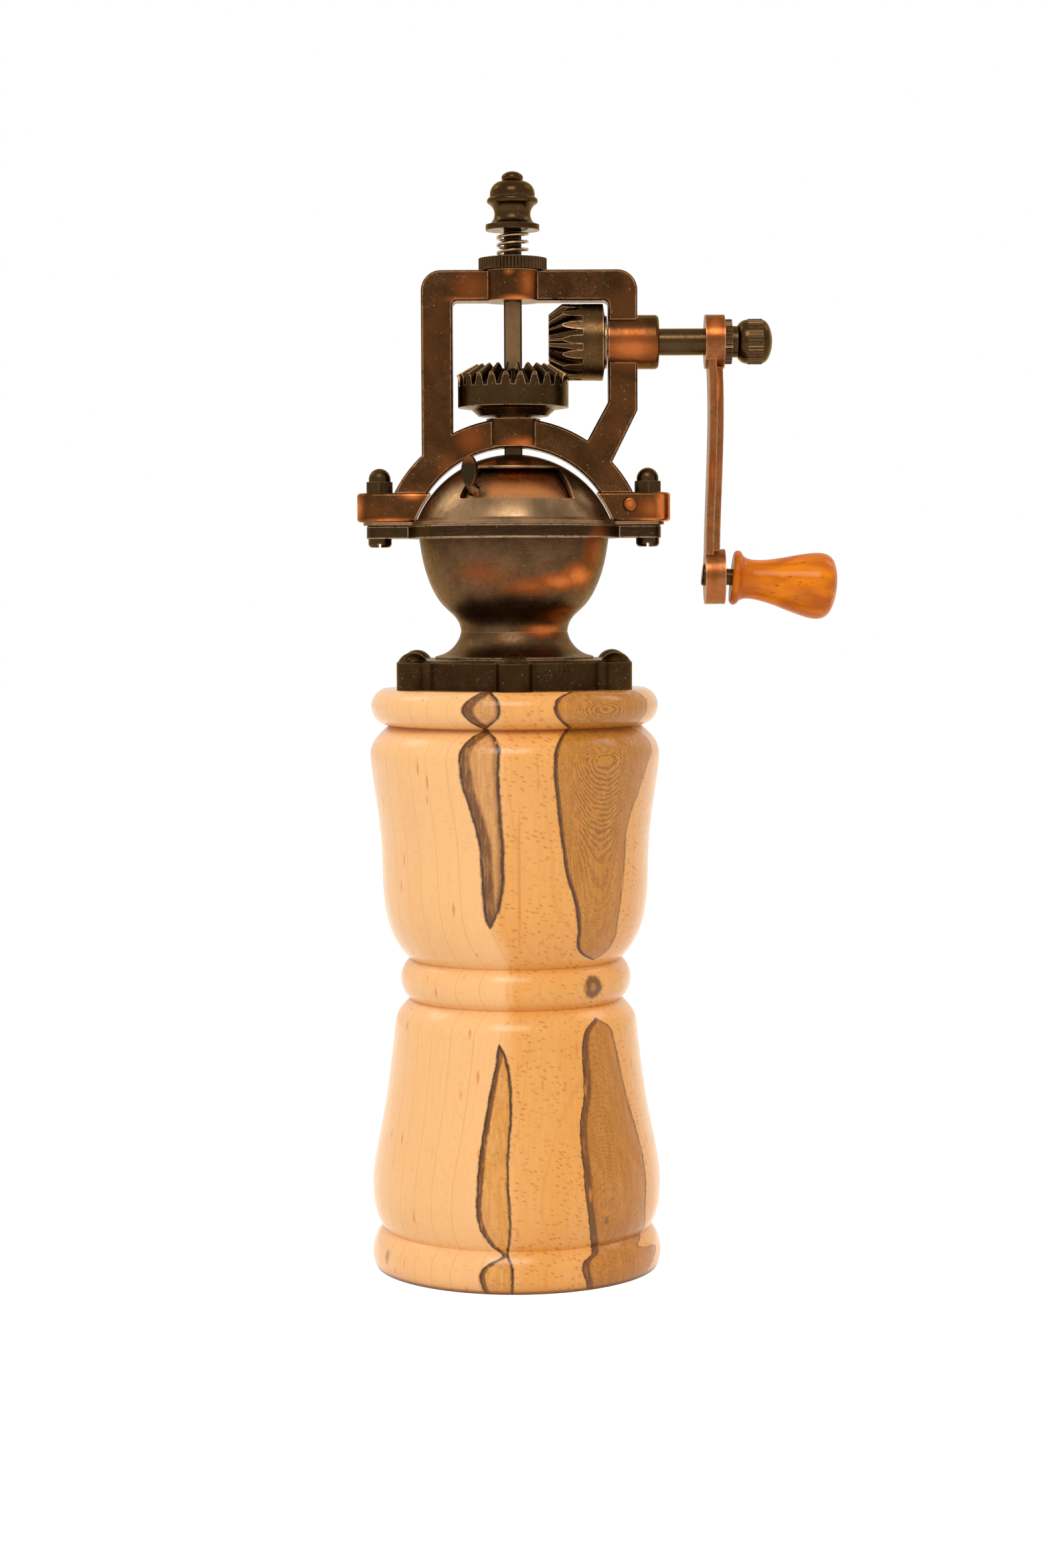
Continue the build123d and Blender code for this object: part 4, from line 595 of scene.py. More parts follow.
@dataclass(frozen=True)
class SpaltedMaple:
    """Clear-lacquered spalted maple, with rings that lie square to one azimuth."""

    ring_azimuth: float = 38.0
    ring_spacing: float = 4.6
    lace_spacing: float = 0.15
    seam: Knots = ((0, -2), (50, -3), (60, -3), (66, -2), (71, -4), (77, -9), (86, -8), (100, -6),
                   (125.2, -6))
    pale: Colour = (0.93, 0.515, 0.210)
    honey: Colour = (0.82, 0.355, 0.072)
    cloud: Colour = (0.86, 0.45, 0.16)
    ring: Colour = (0.62, 0.25, 0.06)
    fibre: Colour = (0.62, 0.255, 0.055)
    ray: Colour = (0.56, 0.175, 0.022)
    stained_oval: Colour = (0.24, 0.082, 0.012)
    stained_ray: Colour = (0.26, 0.088, 0.013)
    stained_fibre: Colour = (0.30, 0.105, 0.018)
    umber: Colour = (0.165, 0.056, 0.011)
    ink: Colour = (0.055, 0.018, 0.004)
    knot_wood: Colour = (0.33, 0.12, 0.03)
    smudge: Colour = (0.28, 0.1, 0.03)
    fleck: Colour = (0.70, 0.235, 0.050)
    streak: Colour = (0.66, 0.22, 0.05)
    # groove colour: painted shade in the turned grooves
    groove_shade: Colour = (0.42, 0.15, 0.032)
    # foot colour: painted contact shadow along the foot's lower edge
    foot: Colour = (0.14, 0.045, 0.012)
    bead_knot: Mark = Mark(41.1, 62.8, 2.8, 2.8, 25.0)
    small_knot: Mark = Mark(37.5, 14.3, 1.0, 1.6, 31.0)
    left_mark: Mark = Mark(-62.5, 4.4, 1.4, 2.2, 31.0)

    def plain(self, place: JarPlace) -> tuple[Wire, Wire, Wire]:
        """Draw the plain wood: pale on the left, honey from the front to the right, pale at the far right.

        Args:
            place: Where a point lies in the jar.

        Returns:
            The wood's colour, its fibres along the jar, and the flecks of its rays.
        """
        paint, z = place.paint, place.paint.z
        half = SEAM_SPAN // 2
        knots = [(up / JAR_HEIGHT, (side + half) / SEAM_SPAN) for up, side in self.seam]
        seam = place.height.curve(knots) * SEAM_SPAN - half
        tone = (place.drawn - seam).rise(-5.0, 4.5) * place.azimuth.fall(55.0, 82.0)
        tone = tone * paint.noise(0.06, (1.0, 1.0, 0.4), 2.0).rise(0.2, 0.6, 0.75, 1.0)
        wood = paint.mix(tone, self.pale, self.honey)
        clouds = paint.noise(0.11, (1.0, 1.0, 0.16), 3.0)
        wood = paint.mix(clouds.rise(0.35, 0.75, 0.0, 0.35), wood, self.cloud)

        # Year rings: thin lines where their planes cross the turned surface.
        ring_bend = paint.noise(0.05, (1.0, 1.0, 0.12), 2.0) * 5.0
        ring_share = ((place.depth + ring_bend) / self.ring_spacing).maths("FRACT")
        wood = paint.mix(abs(ring_share - 0.5).fall(0.0, 0.05) * 0.28, wood, self.ring)
        fibres = paint.noise(1.7, (1.0, 1.0, 0.05), 3.0).rise(0.35, 0.7)
        wood = paint.mix(fibres * tone.rise(0.0, 1.0, 0.08, 0.2), wood, self.fibre)

        # Slanted flecks of the rays, dense in the honey wood and faint in the pale.
        across = place.across
        slanted = paint.join(place.depth * 0.4, across * 0.55 - z * 0.26, across * 0.58 + z * 1.24)
        rays = paint.cells(1.0, at=slanted).fall(0.12, 0.38)
        rays = rays * paint.noise(0.2, (1.0, 1.0, 0.6), 2.0).rise(0.3, 0.62, 0.35, 1.0)
        return paint.mix(rays * tone.rise(0.1, 0.9, 0.12, 0.80), wood, self.ray), fibres, rays

    def ovals(self, place: JarPlace) -> Wire:
        """Draw the ovals where the rings lie flat against the surface.

        Args:
            place: Where a point lies in the jar.

        Returns:
            The ovals as a mask.
        """
        paint = place.paint
        facing = abs(place.azimuth - self.ring_azimuth).fall(6.0, 32.0) * paint.z.rise(78.0, 98.0, 0.35, 1.0)
        bent = place.depth + (paint.noise(0.5, (1.0, 1.0, 0.7), 2.0) - 0.5) * 0.2
        ovals = (bent * (2 * math.pi / self.lace_spacing)).wave().rise(0.35, 0.8) * facing
        return ovals * paint.noise(1.2, detail=2.0).rise(0.3, 0.55)

    def stained(self, place: JarPlace) -> tuple[Wire, Wire]:
        """Draw the wood with its stained figures.

        Args:
            place: Where a point lies in the jar.

        Returns:
            The colour, and the figures' border lines as a mask.
        """
        paint = place.paint
        colour, fibres, rays = self.plain(place)
        ovals = self.ovals(place)
        bands: list[Wire] = []
        lines: list[Wire] = []
        for figure in FIGURES:
            inside, band, line = figure.masks(place)
            streaks = paint.noise(0.8, (1.0, 1.0, 0.1), 3.0).rise(0.3, 0.7, 0.7, 1.0)
            colour = paint.mix(inside * figure.stain * streaks, colour, figure.fill)
            colour = paint.mix(inside * ovals * 0.72, colour, self.stained_oval)
            colour = paint.mix(inside * rays * 0.30, colour, self.stained_ray)
            colour = paint.mix(inside * fibres * 0.25, colour, self.stained_fibre)
            bands.append(band)
            lines.append(line)
        mottle = paint.noise(0.9, (1.0, 1.0, 0.35), 4.0, 0.65)
        broken = (mottle * 0.7 + fibres * 0.3).rise(0.25, 0.5, 0.62, 0.97)
        drawn_line = reduce(Wire.higher, lines) * mottle.rise(0.2, 0.5, 0.6, 1.0)
        colour = paint.mix(reduce(Wire.higher, bands) * broken, colour, self.umber)
        return paint.mix(drawn_line, colour, self.ink), drawn_line

    def marked(self, paint: Paint, colour: Wire) -> Wire:
        """Add the knots and the orange pin flecks, most of which lie in the pale wood.

        Args:
            paint: The material in the making.
            colour: The wood's colour so far.

        Returns:
            The colour with the marks in it.
        """
        knot = self.bead_knot.mask(paint)
        colour = paint.mix(knot.rise(0.0, 0.45) * 0.75, colour, self.knot_wood)
        colour = paint.mix((knot * (1.0 - knot) * 4.0).rise(0.3, 1.0) * 0.6, colour, self.ink)
        colour = paint.mix(self.small_knot.mask(paint).rise(0.2, 0.8) * 0.5, colour, self.ink)
        colour = paint.mix(self.left_mark.mask(paint).rise(0.1, 0.8) * 0.6, colour, self.smudge)
        flecks = paint.cells(0.38, (1.0, 1.0, 0.2)).fall(0.06, 0.18)
        flecks = flecks * paint.noise(0.12, detail=1.0).rise(0.36, 0.46)
        return paint.mix(flecks * 0.75, colour, self.fleck)

    def material(self) -> bpy.types.Material:
        """Build the jar's material."""
        paint = Paint("spalted_maple")
        place = JarPlace(paint, self.ring_azimuth)
        colour, drawn_line = self.stained(place)
        colour = self.marked(paint, colour)
        streak = abs(place.azimuth - 1.8 + (paint.noise(0.1, detail=1.0) - 0.5) * 1.5).fall(0.15, 0.8)
        streak = streak * paint.z.rise(70.0, 74.0) * paint.z.fall(96.0, 103.0)
        colour = paint.mix(streak * 0.6, colour, self.streak)

        # Painted shade: the turned grooves are darkened where the surface is occluded, and the foot's lower
        # edge is darkened as a painted contact shadow.
        colour = paint.mix(paint.hollows(5.0).rise(0.25, 0.75) * 0.42, colour, self.groove_shade)
        colour = paint.mix(paint.z.fall(0.2, 1.1) * 0.85, colour, self.foot)
        sheen = paint.noise(0.3, detail=3.0).rise(0.3, 0.7, 0.30, 0.40)
        return paint.finish(Base_Color=colour, Roughness=sheen, Specular_IOR_Level=0.06, Coat_Weight=0.48,
                            Coat_Roughness=0.19, Normal=paint.bump(drawn_line * -0.5, 0.012))


@dataclass(frozen=True)
class VarnishedGrip:
    """Amber-varnished wood with open pores that run along the drooping grip."""

    droop: float = 6.0
    deep: Colour = (0.50, 0.105, 0.002)
    amber: Colour = (0.80, 0.215, 0.002)
    pore: Colour = (0.20, 0.040, 0.002)

    def material(self) -> bpy.types.Material:
        """Build the grip's material."""
        paint = Paint("amber_grip")
        lean = math.radians(self.droop)
        along = paint.x * math.cos(lean) - paint.z * math.sin(lean)
        over = paint.x * math.sin(lean) + paint.z * math.cos(lean)
        local = paint.join(along, paint.y, over)
        clouds = paint.noise(0.22, (0.35, 1.0, 1.0), 3.0, at=local)
        colour = paint.mix(clouds.rise(0.35, 0.65), self.amber, self.deep)
        bands = ((over + paint.y * 0.6 + paint.noise(0.1, detail=1.0) * 4.0) * 1.7).wave()
        colour = paint.mix(bands.rise(0.6, 1.0) * 0.35, colour, self.deep)
        pores = paint.cells(0.95, (0.28, 1.0, 1.0), at=local).fall(0.08, 0.24)
        pores = pores * paint.noise(0.35, detail=1.0, at=local).rise(0.40, 0.58)
        colour = paint.mix(pores * 0.75, colour, self.pore)
        return paint.finish(Base_Color=colour, Roughness=0.4, Specular_IOR_Level=0.02, Coat_Weight=0.25,
                            Coat_Roughness=0.13, Normal=paint.bump(1.0 - pores, 0.06))


# ---------------------------------------- metal
@dataclass(frozen=True)
class Patch:
    """A soft patch on a part. As a rubbed patch the dark coat is rubbed thin there: red-brown at a strength
    of 0.5, bare copper at 1. As a shade patch it is painted shade, darkening the colour where shade falls.
    """

    centre: Point
    reach: Point
    strength: float = 1.0


@dataclass(frozen=True)
class Antiqued:
    """Plated metal with a dark antique coat that is rubbed through at its edges and on some patches, with
    painted shade on its shade patches.
    """

    name: str
    dark: Colour = (0.046, 0.020, 0.007)
    warm: Colour = (0.084, 0.031, 0.010)
    ember: Colour = (0.20, 0.052, 0.012)
    bare: Colour = (0.56, 0.155, 0.035)
    rub: Colour = (0.42, 0.215, 0.105)
    warmth: float = 0.5
    wear: float = 0.5
    edge: float = 0.45
    roughness: float = 0.30
    dust: float = 0.35
    grime: Colour = (0.36, 0.24, 0.14)
    deepening: float = 0.42
    grain: Grain = Grain.EVEN
    patches: tuple[Patch, ...] = ()
    painted_shades: tuple[Patch, ...] = ()

    @staticmethod
    def spread(paint: Paint, patches: tuple[Patch, ...], ragged: Wire, torn: float) -> Wire | None:
        """Lay patches over one another.

        Args:
            paint: The material in the making.
            patches: The patches.
            ragged: Noise that breaks their outlines.
            torn: How far they are broken.

        Returns:
            The strongest patch at each point, or None where there are no patches.
        """
        laid: Wire | None = None
        for patch in patches:
            spot = paint.spot(patch.centre, patch.reach, ragged, torn) * patch.strength
            laid = spot if laid is None else laid.higher(spot)
        return laid

    def material(self) -> bpy.types.Material:
        """Build the metal's material."""
        paint = Paint(self.name)
        clouds = paint.noise(0.13, detail=4.0, rough=0.6, bend=0.4)
        mottle = paint.noise(0.8, detail=5.0, rough=0.68)
        brush = paint.noise(1.3, self.grain.value, 3.0)
        deep = tuple(self.deepening * part for part in self.dark)
        colour = paint.mix(clouds.rise(0.3, 0.68) * self.warmth, self.dark, self.warm)
        # Painted shade: the shade patches darken the colour towards the deep tone where shade falls.
        shade = self.spread(paint, self.painted_shades, clouds, 0.35)
        if shade is not None:
            colour = paint.mix(shade, colour, deep)
        colour = paint.mix(mottle.rise(0.5, 0.8) * 0.5, colour, deep)
        colour = paint.mix(brush.rise(0.5, 0.75) * 0.3, colour, tuple(1.7 * part for part in self.warm))
        heat = self.spread(paint, self.patches, clouds * 0.6 + mottle * 0.25 + brush * 0.15, 0.7)
        if heat is not None:
            colour = paint.mix(heat.rise(0.0, 0.5), colour, self.ember)
            colour = paint.mix(heat.rise(0.35, 1.0), colour, self.bare)
        corner = 1.0 - paint.hollows(1.0).rise(0.35, 0.9) * 0.7
        worn = paint.edges(self.edge) * mottle.rise(0.28, 0.55) * corner * self.wear
        colour = paint.mix(worn, colour, self.rub)
        specks = paint.cells(0.85).fall(0.05, 0.2) * paint.noise(0.5, detail=1.0).rise(0.45, 0.6)
        swirls = paint.noise(0.5, detail=2.0, bend=2.5)
        hairlines = abs(swirls - 0.5).fall(0.0, 0.008) * paint.noise(0.16, detail=1.0).rise(0.5, 0.62)
        dust = specks.higher(hairlines) * self.dust
        colour = paint.mix(dust, colour, self.grime)
        rough = mottle.rise(0.3, 0.75, self.roughness - 0.06, self.roughness + 0.08) + dust * 0.2
        relief = mottle * 0.5 + brush * 0.3 + specks * 0.3
        return paint.finish(Base_Color=colour, Metallic=1.0, Roughness=rough, Specular_Tint=WARM_EDGE,
                            Normal=paint.bump(relief, 0.02))


@dataclass(frozen=True)
class BrushedDoor:
    """The filler door: brushed copper that darkens to red-brown under the dome, with an olive-brown tab."""

    foot: float = 165.0
    head: float = 172.4
    tab: Patch = Patch((-8.6, -13.6, 171.4), (3.4, 3.4, 5.4))
    levels: tuple[tuple[float, Colour], ...] = (
        (0.0, (0.36, 0.135, 0.045)), (0.25, (0.47, 0.175, 0.052)), (0.45, (0.44, 0.140, 0.036)),
        (0.62, (0.42, 0.105, 0.026)), (1.0, (0.40, 0.095, 0.024)),
    )
    bright: Colour = (0.62, 0.27, 0.10)
    left_side: Colour = (0.16, 0.088, 0.040)
    right_side: Colour = (0.17, 0.075, 0.028)
    speck: Colour = (0.42, 0.20, 0.09)
    tab_dark: Colour = (0.034, 0.021, 0.009)
    tab_tip: Colour = (0.20, 0.055, 0.018)

    def material(self) -> bpy.types.Material:
        """Build the door's material."""
        paint = Paint("brushed_copper_door")
        brush = paint.noise(1.8, Grain.ALONG_AXIS.value, 3.0)
        mottle = paint.noise(0.9, detail=5.0, rough=0.7)
        azimuth = paint.azimuth()
        level = (paint.z - self.foot) / (self.head - self.foot) + (mottle - 0.5) * 0.3
        colour = level.held().ramp(self.levels, Steps.EASED)
        colour = paint.mix(brush.rise(0.4, 0.7) * level.fall(0.4, 0.7) * 0.35, colour, self.bright)
        colour = paint.mix(azimuth.fall(-26.0, -14.0) * 0.8, colour, self.left_side)
        colour = paint.mix(azimuth.rise(22.0, 46.0) * 0.6, colour, self.right_side)
        specks = paint.cells(1.6).fall(0.06, 0.16) * level.rise(0.4, 0.7)
        colour = paint.mix(specks * 0.45, colour, self.speck)
        tab = paint.spot(self.tab.centre, self.tab.reach, mottle).rise(0.02, 0.25)
        tab_colour = paint.mix((paint.z + mottle).rise(173.0, 174.6), self.tab_dark, self.tab_tip)
        colour = paint.mix(tab, colour, tab_colour)
        rough = mottle.rise(0.3, 0.7, 0.22, 0.34)
        relief = paint.bump(brush, 0.012)
        return paint.finish(Base_Color=colour, Metallic=1.0, Roughness=rough, Normal=relief)


@dataclass(frozen=True)
class Machined:
    """Plain metal with turning or brush marks and painted shade in its hollows, such as a washer, a spindle
    or a spring.
    """

    name: str
    tone: Colour
    shade: Colour
    roughness: float = 0.3
    grain: Grain = Grain.ROUND_AXIS
    bright: tuple[float, float] | None = None
    thread_pitch: float = 0.7

    def material(self) -> bpy.types.Material:
        """Build the metal's material."""
        paint = Paint(self.name)
        brush = paint.noise(1.6, self.grain.value, 3.0)
        stain = paint.noise(0.3, detail=4.0, rough=0.65)
        colour = paint.mix(stain.rise(0.4, 0.72), self.tone, self.shade)
        colour = paint.mix(brush.rise(0.35, 0.7) * 0.3, colour, self.shade)
        deep = tuple(0.3 * part for part in self.shade)
        # Painted shade: darker in hollows and corners, from the occlusion mask.
        colour = paint.mix(paint.hollows(0.8).rise(0.3, 0.9) * 0.5, colour, deep)
        normal = paint.bump(brush, 0.012)
        if self.bright is not None:
            low, high = self.bright
            threaded = paint.z.rise(high, high + 0.3)
            colour = paint.mix(paint.z.fall(low - 0.5, low) * 0.75, colour, deep)
            turn = paint.x.maths("ARCTAN2", paint.y)
            flank = (paint.z * (2 * math.pi / self.thread_pitch) + turn).wave()
            # The threaded length is painted darker, darkest in the thread roots as painted shade.
            colour = paint.mix(threaded * (1.0 - flank * 0.6), colour, deep)
            normal = paint.bump(flank * threaded, 0.25, normal)
        rough = stain.rise(0.3, 0.7, self.roughness - 0.05, self.roughness + 0.12)
        return paint.finish(Base_Color=colour, Metallic=1.0, Roughness=rough, Normal=normal)


# ---------------------------------------- sub-assemblies
@dataclass
class Assembly:
    """A group of the mill's pieces that one class dresses."""

    nodes: dict[str, bpy.types.Object]

    def dress(self, names: Iterable[str], material: bpy.types.Material) -> None:
        """Give CAD nodes a material.

        Args:
            names: The nodes.
            material: The finish that they take.
        """
        for name in names:
            piece = self.nodes[name]
            piece.data.materials.clear()
            piece.data.materials.append(material)
            LOG.info("dressed %s with %s", name, material.name)


@dataclass
class WoodenJar(Assembly):
    """The turned jar and the collar that is let into its mouth."""

    maple: SpaltedMaple = SpaltedMaple()

    def build(self) -> None:
        """Dress the jar, the collar and the collar's screws."""
        self.dress(["wood_body"], self.maple.material())
        collar = Antiqued("bronzed_collar", warmth=0.7, wear=0.4, grain=Grain.ROUND_AXIS)
        self.dress(["receiver_ring"], collar.material())
        screws = Machined("screw_steel", (0.35, 0.31, 0.26), (0.16, 0.13, 0.10))
        self.dress(["receiver_screws"], screws.material())


@dataclass
class MillHead(Assembly):
    """Base casting, bowl, dome, frame and the pieces that hold them together."""

    base: Antiqued = Antiqued(
        "black_bronze_base", dark=(0.029, 0.0135, 0.0045), warm=(0.046, 0.022, 0.008), warmth=0.6, wear=0.5,
        rub=(0.22, 0.13, 0.06), dust=0.45, roughness=0.36)
    bowl: Antiqued = Antiqued(
        "antique_copper_bowl", dark=(0.064, 0.033, 0.0145), warm=(0.108, 0.056, 0.026), warmth=0.9, wear=0.9,
        rub=(0.58, 0.37, 0.22), roughness=0.39, dust=0.3, grain=Grain.ROUND_AXIS, patches=(
            Patch((17.8, -13.5, 154), (4.5, 9, 8.5), 0.95),
            Patch((14.6, -14, 149), (7, 10, 4.6), 0.85),
            Patch((10.5, -17, 147.9), (9.5, 9, 3.6), 0.80),
            Patch((4, -18.5, 146.9), (12, 9, 3.4), 0.50),
            Patch((-8, -18.5, 149.5), (14, 8, 5), 0.3),
            Patch((9.5, -8.6, 141.2), (8.5, 8, 3.2), 1.15),
            Patch((6, -8.6, 137.9), (8.5, 7, 2.8), 0.80),
        ), painted_shades=(
            # Painted shade: dark under the rim, and a softer dark band on the belly.
            Patch((0, 0, 159.5), (200, 200, 7.5), 1),
            Patch((-9, -12, 141.4), (14, 14, 4), 0.35),
        ))
    dome: Antiqued = Antiqued(
        "antique_copper_dome", dark=(0.135, 0.080, 0.039), warm=(0.265, 0.158, 0.078), warmth=0.9, wear=0.5,
        roughness=0.31, dust=0.2, grain=Grain.ALONG_AXIS, patches=(
            Patch((-18.5, -16.2, 162.3), (5, 6, 3.4), 0.5),
            Patch((1.3, -28, 160.4), (5, 3, 0.9), 0.8),
        ), painted_shades=(
            # Painted shade: a darker crown and right side.
            Patch((14, -8, 172), (14, 16, 7), 0.6),
            Patch((-12, -8, 172), (8, 14, 6), 0.35),
        ))
    frame: Antiqued = Antiqued(
        "antique_copper_frame", dark=(0.037, 0.017, 0.006), warm=(0.098, 0.036, 0.011), warmth=0.85,
        wear=0.95, edge=0.4, rub=(0.50, 0.27, 0.13), dust=0.5, patches=(
            Patch((-9, -4, 210.6), (6.5, 4, 6.5), 0.36),
            Patch((-9.5, -4, 208), (8.5, 3, 1.3), 0.6),
            Patch((3.4, -6, 211.2), (3.6, 4, 6.5), 0.66),
            Patch((1, -6, 207.9), (6, 4, 1.5), 0.95),
            Patch((-0.8, -6, 213.7), (1.8, 2, 1.4), 0.6),
            Patch((-9, -4, 178.8), (5.5, 4, 6.5), 0.40),
            Patch((-6, -5, 179), (0.8, 2, 5), 1.1),
            Patch((1.5, -5, 177.4), (6.5, 3, 2.4), 0.85),
            Patch((-14, -4, 171.6), (4.5, 3, 7), 0.36),
            Patch((-33.5, -2, 164), (2.6, 8, 5), 0.9),
            Patch((-29, -4, 163.2), (8, 4, 4), 0.16),
            Patch((-21.5, -4, 166.4), (5, 4, 1.8), 0.95),
            Patch((-26.3, -4, 161), (8, 4, 1.4), 0.95),
            Patch((29.5, -4, 163.6), (5.5, 4, 4.5), 0.6),
            Patch((32.6, -2, 164), (4.6, 8, 7), 1.6),
            Patch((29, -4, 161), (6.5, 4, 1.3), 0.8),
            Patch((25.3, -5.5, 197.6), (10.5, 8, 6.4), 0.64),
        ))
    fasteners: Antiqued = Antiqued(
        "black_bronze_fasteners", dark=(0.045, 0.025, 0.010), warm=(0.068, 0.038, 0.015), warmth=0.6,
        wear=0.5, rub=(0.25, 0.15, 0.07), edge=0.3, dust=0.2)
    pin: Antiqued = Antiqued(
        "copper_pin", dark=(0.22, 0.075, 0.025), warm=(0.38, 0.13, 0.042), warmth=1.0, wear=0.4, edge=0.3,
        dust=0.2, patches=(Patch((24.8, -5.3, 164.6), (2.4, 2.4, 2.4), 0.9),))

    def build(self) -> None:
        """Dress the head's castings and fasteners."""
        self.dress(["lobed_base_ring"], self.base.material())
        self.dress(["bowl"], self.bowl.material())
        self.dress(["dome_cover"], self.dome.material())
        self.dress(["frame_yoke"], self.frame.material())
        self.dress(["clamp_screws", "acorn_nuts", "thrust_washer"], self.fasteners.material())
        self.dress(["lug_pin"], self.pin.material())
        self.dress(["ring_burr"], Machined("burr_steel", (0.36, 0.33, 0.30), (0.17, 0.15, 0.13)).material())
        self.dress(["filler_door"], BrushedDoor().material())


@dataclass
class Mechanism(Assembly):
    """The bevel gears, the spindle and the grind adjuster."""

    gears: Antiqued = Antiqued(
        "black_bronze_gears", dark=(0.036, 0.018, 0.0065), warm=(0.068, 0.036, 0.014), warmth=0.5, wear=0.9,
        rub=(0.46, 0.29, 0.15), edge=0.35, dust=0.4, roughness=0.31)
    pinion: Antiqued = Antiqued(
        "brown_bronze_pinion", dark=(0.053, 0.026, 0.0095), warm=(0.098, 0.052, 0.020), warmth=0.5, wear=0.9,
        rub=(0.50, 0.31, 0.16), edge=0.35, dust=0.35, roughness=0.31)
    turned: Antiqued = Antiqued(
        "black_bronze_turnings", dark=(0.038, 0.019, 0.007), warm=(0.062, 0.033, 0.013), warmth=0.6,
        wear=0.45, rub=(0.28, 0.17, 0.09), edge=0.25, dust=0.25, roughness=0.25, grain=Grain.ROUND_AXIS)

    def build(self) -> None:
        """Dress the turning pieces."""
        self.dress(["drive_gear"], self.gears.material())
        self.dress(["pinion", "pinion_pin"], self.pinion.material())
        turnings = ["disc_washer", "adjusting_disc", "finial", "crank_nut", "grip_pin"]
        self.dress(turnings, self.turned.material())
        steel = Machined("spindle_steel", (0.180, 0.103, 0.047), (0.130, 0.073, 0.033), 0.34,
                         Grain.ALONG_AXIS, bright=(182.0, 214.0))
        self.dress(["spindle"], steel.material())
        burr = Machined("cone_steel", (0.36, 0.33, 0.30), (0.17, 0.15, 0.13))
        self.dress(["grinding_cone", "cone_nut"], burr.material())
        washer = Machined("bright_washer", (0.56, 0.45, 0.31), (0.32, 0.22, 0.12), 0.22)
        self.dress(["spring_washer"], washer.material())
        wire = Machined("spring_wire", (0.44, 0.29, 0.15), (0.22, 0.12, 0.055), 0.2, Grain.EVEN)
        self.dress(["tension_spring"], wire.material())


@dataclass
class Crank(Assembly):
    """The crank's shaft, arm and grip."""

    shaft: Antiqued = Antiqued(
        "shaft_bronze", dark=(0.044, 0.024, 0.010), warm=(0.070, 0.039, 0.016), warmth=0.6, wear=0.25,
        rub=(0.3, 0.18, 0.1), roughness=0.26)
    arm: Antiqued = Antiqued(
        "antique_copper_arm", dark=(0.125, 0.048, 0.018), warm=(0.270, 0.092, 0.030), warmth=1.0, wear=0.7,
        edge=0.5, rub=(0.50, 0.24, 0.12), patches=(
            Patch((43, -3, 201.5), (4, 7, 5), 0.85),
            Patch((43.6, -2.6, 189), (1.6, 4, 9), 0.9),
            Patch((42.5, -3, 171), (1.6, 4, 9), 0.7),
            Patch((42.8, -4, 150), (2, 5, 6), 0.7),
        ))

    def build(self) -> None:
        """Dress the crank and its grip."""
        self.dress(["crank_shaft"], self.shaft.material())
        self.dress(["crank_arm"], self.arm.material())
        self.dress(["grip"], VarnishedGrip().material())


# ---------------------------------------- studio
@dataclass(frozen=True)
class Lamp:
    """A rectangular soft lamp: its place in millimetres, its size in metres and its power in watts."""

    name: str
    place: Point
    size: tuple[float, float]
    power: float

    def hang(self, aim: Point) -> None:
        """Add the lamp to the scene, facing a point.

        Args:
            aim: The point that it faces, in metres.
        """
        data = bpy.data.lights.new(self.name, "AREA")
        data.shape = "RECTANGLE"
        data.size, data.size_y = self.size
        data.energy = self.power
        lamp = bpy.data.objects.new(self.name, data)
        bpy.context.scene.collection.objects.link(lamp)
        where = Vector(self.place) * MM
        lamp.location = where
        lamp.rotation_euler = (Vector(aim) - where).to_track_quat("-Z", "Y").to_euler()


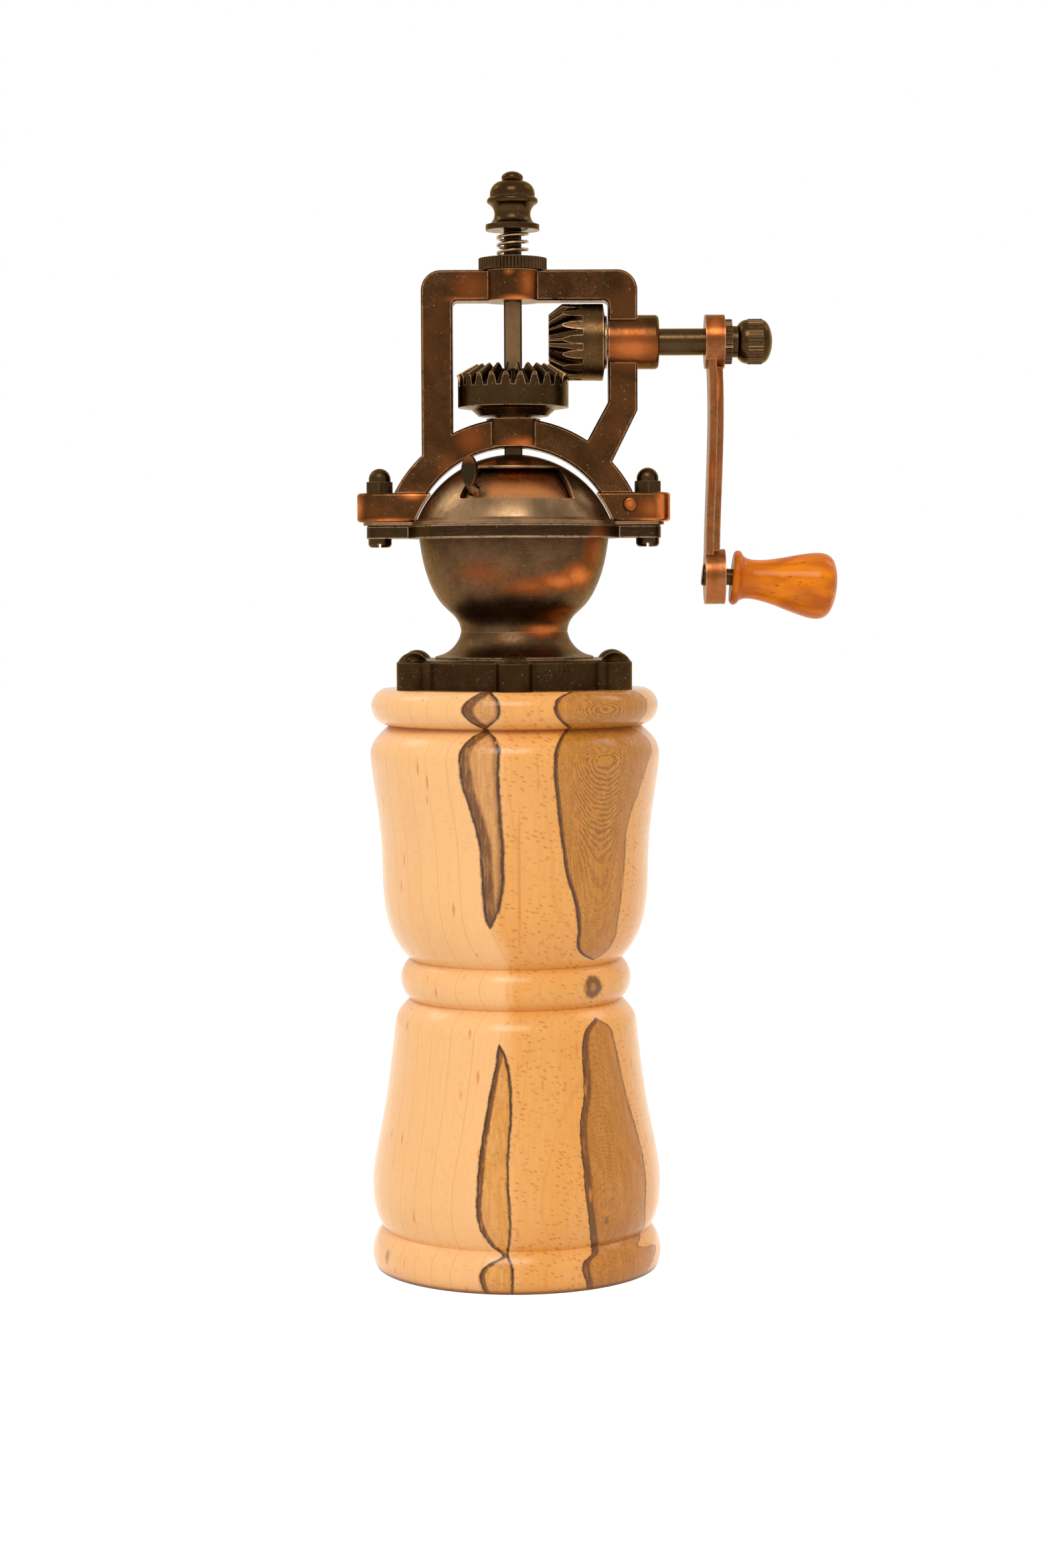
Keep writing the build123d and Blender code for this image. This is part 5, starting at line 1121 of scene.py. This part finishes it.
@dataclass
class Studio:
    """White floor and surround, soft lamps and the camera."""

    eye: Point = (1.2, -629.0, 146.7)
    pitch: float = -3.84
    roll: float = -0.25
    lens: float = 66.98
    floor_reach: float = 3.0
    floor_tone: float = 0.86
    floor_glow: float = 0.68
    surround: float = 0.67
    surround_tint: Colour = (1.0, 0.985, 0.965)
    aim: Point = (0.0, 0.0, 0.12)
    lamps: tuple[Lamp, ...] = (
        Lamp("key_lamp", (-95.0, -800.0, 890.0), (0.60, 0.42), 5.4),
        Lamp("side_lamp_left", (-840.0, 340.0, 930.0), (0.34, 0.40), 1.5),
        Lamp("side_lamp_right", (840.0, 330.0, 930.0), (0.34, 0.40), 1.3),
    )

    def floor(self) -> None:
        """Lay the floor, which shows white except where the mill shades it."""
        mesh = bpy.data.meshes.new("floor")
        form = bmesh.new()
        bmesh.ops.create_grid(form, x_segments=2, y_segments=2, size=self.floor_reach)
        form.to_mesh(mesh)
        form.free()
        floor = bpy.data.objects.new("floor", mesh)
        bpy.context.scene.collection.objects.link(floor)
        paint = Paint("white_floor")
        tone = (self.floor_tone, self.floor_tone, self.floor_tone)
        paint.finish(Base_Color=tone, Roughness=0.9, Specular_IOR_Level=0.0)
        light = {"Color": (*WHITE, 1.0), "Strength": self.floor_glow}
        glow = paint.node("ShaderNodeEmission", inputs=light)
        glowing = paint.node("ShaderNodeAddShader", inputs={0: paint.surface, 1: glow})
        paint.show(paint.node("ShaderNodeMixShader", inputs={0: paint.seen(), 1: paint.surface, 2: glowing}))
        mesh.materials.append(paint.material)

    def world(self) -> None:
        """Light the scene from all round, with a white background where it is seen."""
        world = bpy.data.worlds.new("white_tent")
        world.use_nodes = True
        bpy.context.scene.world = world
        sky = Nodes(world.node_tree, "ShaderNodeOutputWorld")
        light = {"Color": (*self.surround_tint, 1.0), "Strength": self.surround}
        lit = sky.node("ShaderNodeBackground", inputs=light)
        shown = sky.node("ShaderNodeBackground", inputs={"Color": (*WHITE, 1.0)})
        sky.show(sky.node("ShaderNodeMixShader", inputs={0: sky.seen(), 1: lit, 2: shown}))

    def camera(self) -> None:
        """Set the camera at the photograph's point of view."""
        data = bpy.data.cameras.new("camera")
        data.sensor_width = 36.0
        data.lens = self.lens
        data.clip_start = 0.01
        camera = bpy.data.objects.new("camera", data)
        bpy.context.scene.collection.objects.link(camera)
        tilt = Matrix.Rotation(math.radians(90 + self.pitch), 4, "X")
        camera.matrix_world = Matrix.Translation(Vector(self.eye) * MM) @ tilt @ Matrix.Rotation(
            math.radians(self.roll), 4, "Z")
        bpy.context.scene.camera = camera

    def build(self) -> None:
        """Set up the whole studio."""
        self.floor()
        self.world()
        for lamp in self.lamps:
            lamp.hang(self.aim)
        self.camera()
        bpy.context.scene.view_settings.view_transform = "Standard"


def main() -> None:
    """Load the mill, dress its pieces and set up the studio."""
    logging.basicConfig(level=logging.INFO, format="%(name)s: %(message)s")
    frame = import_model()
    nodes = frame["nodes"]
    for part in (WoodenJar(nodes), MillHead(nodes), Mechanism(nodes), Crank(nodes)):
        part.build()
        LOG.info("finished the %s", type(part).__name__)
    Studio().build()


if __name__ == "__main__":
    main()
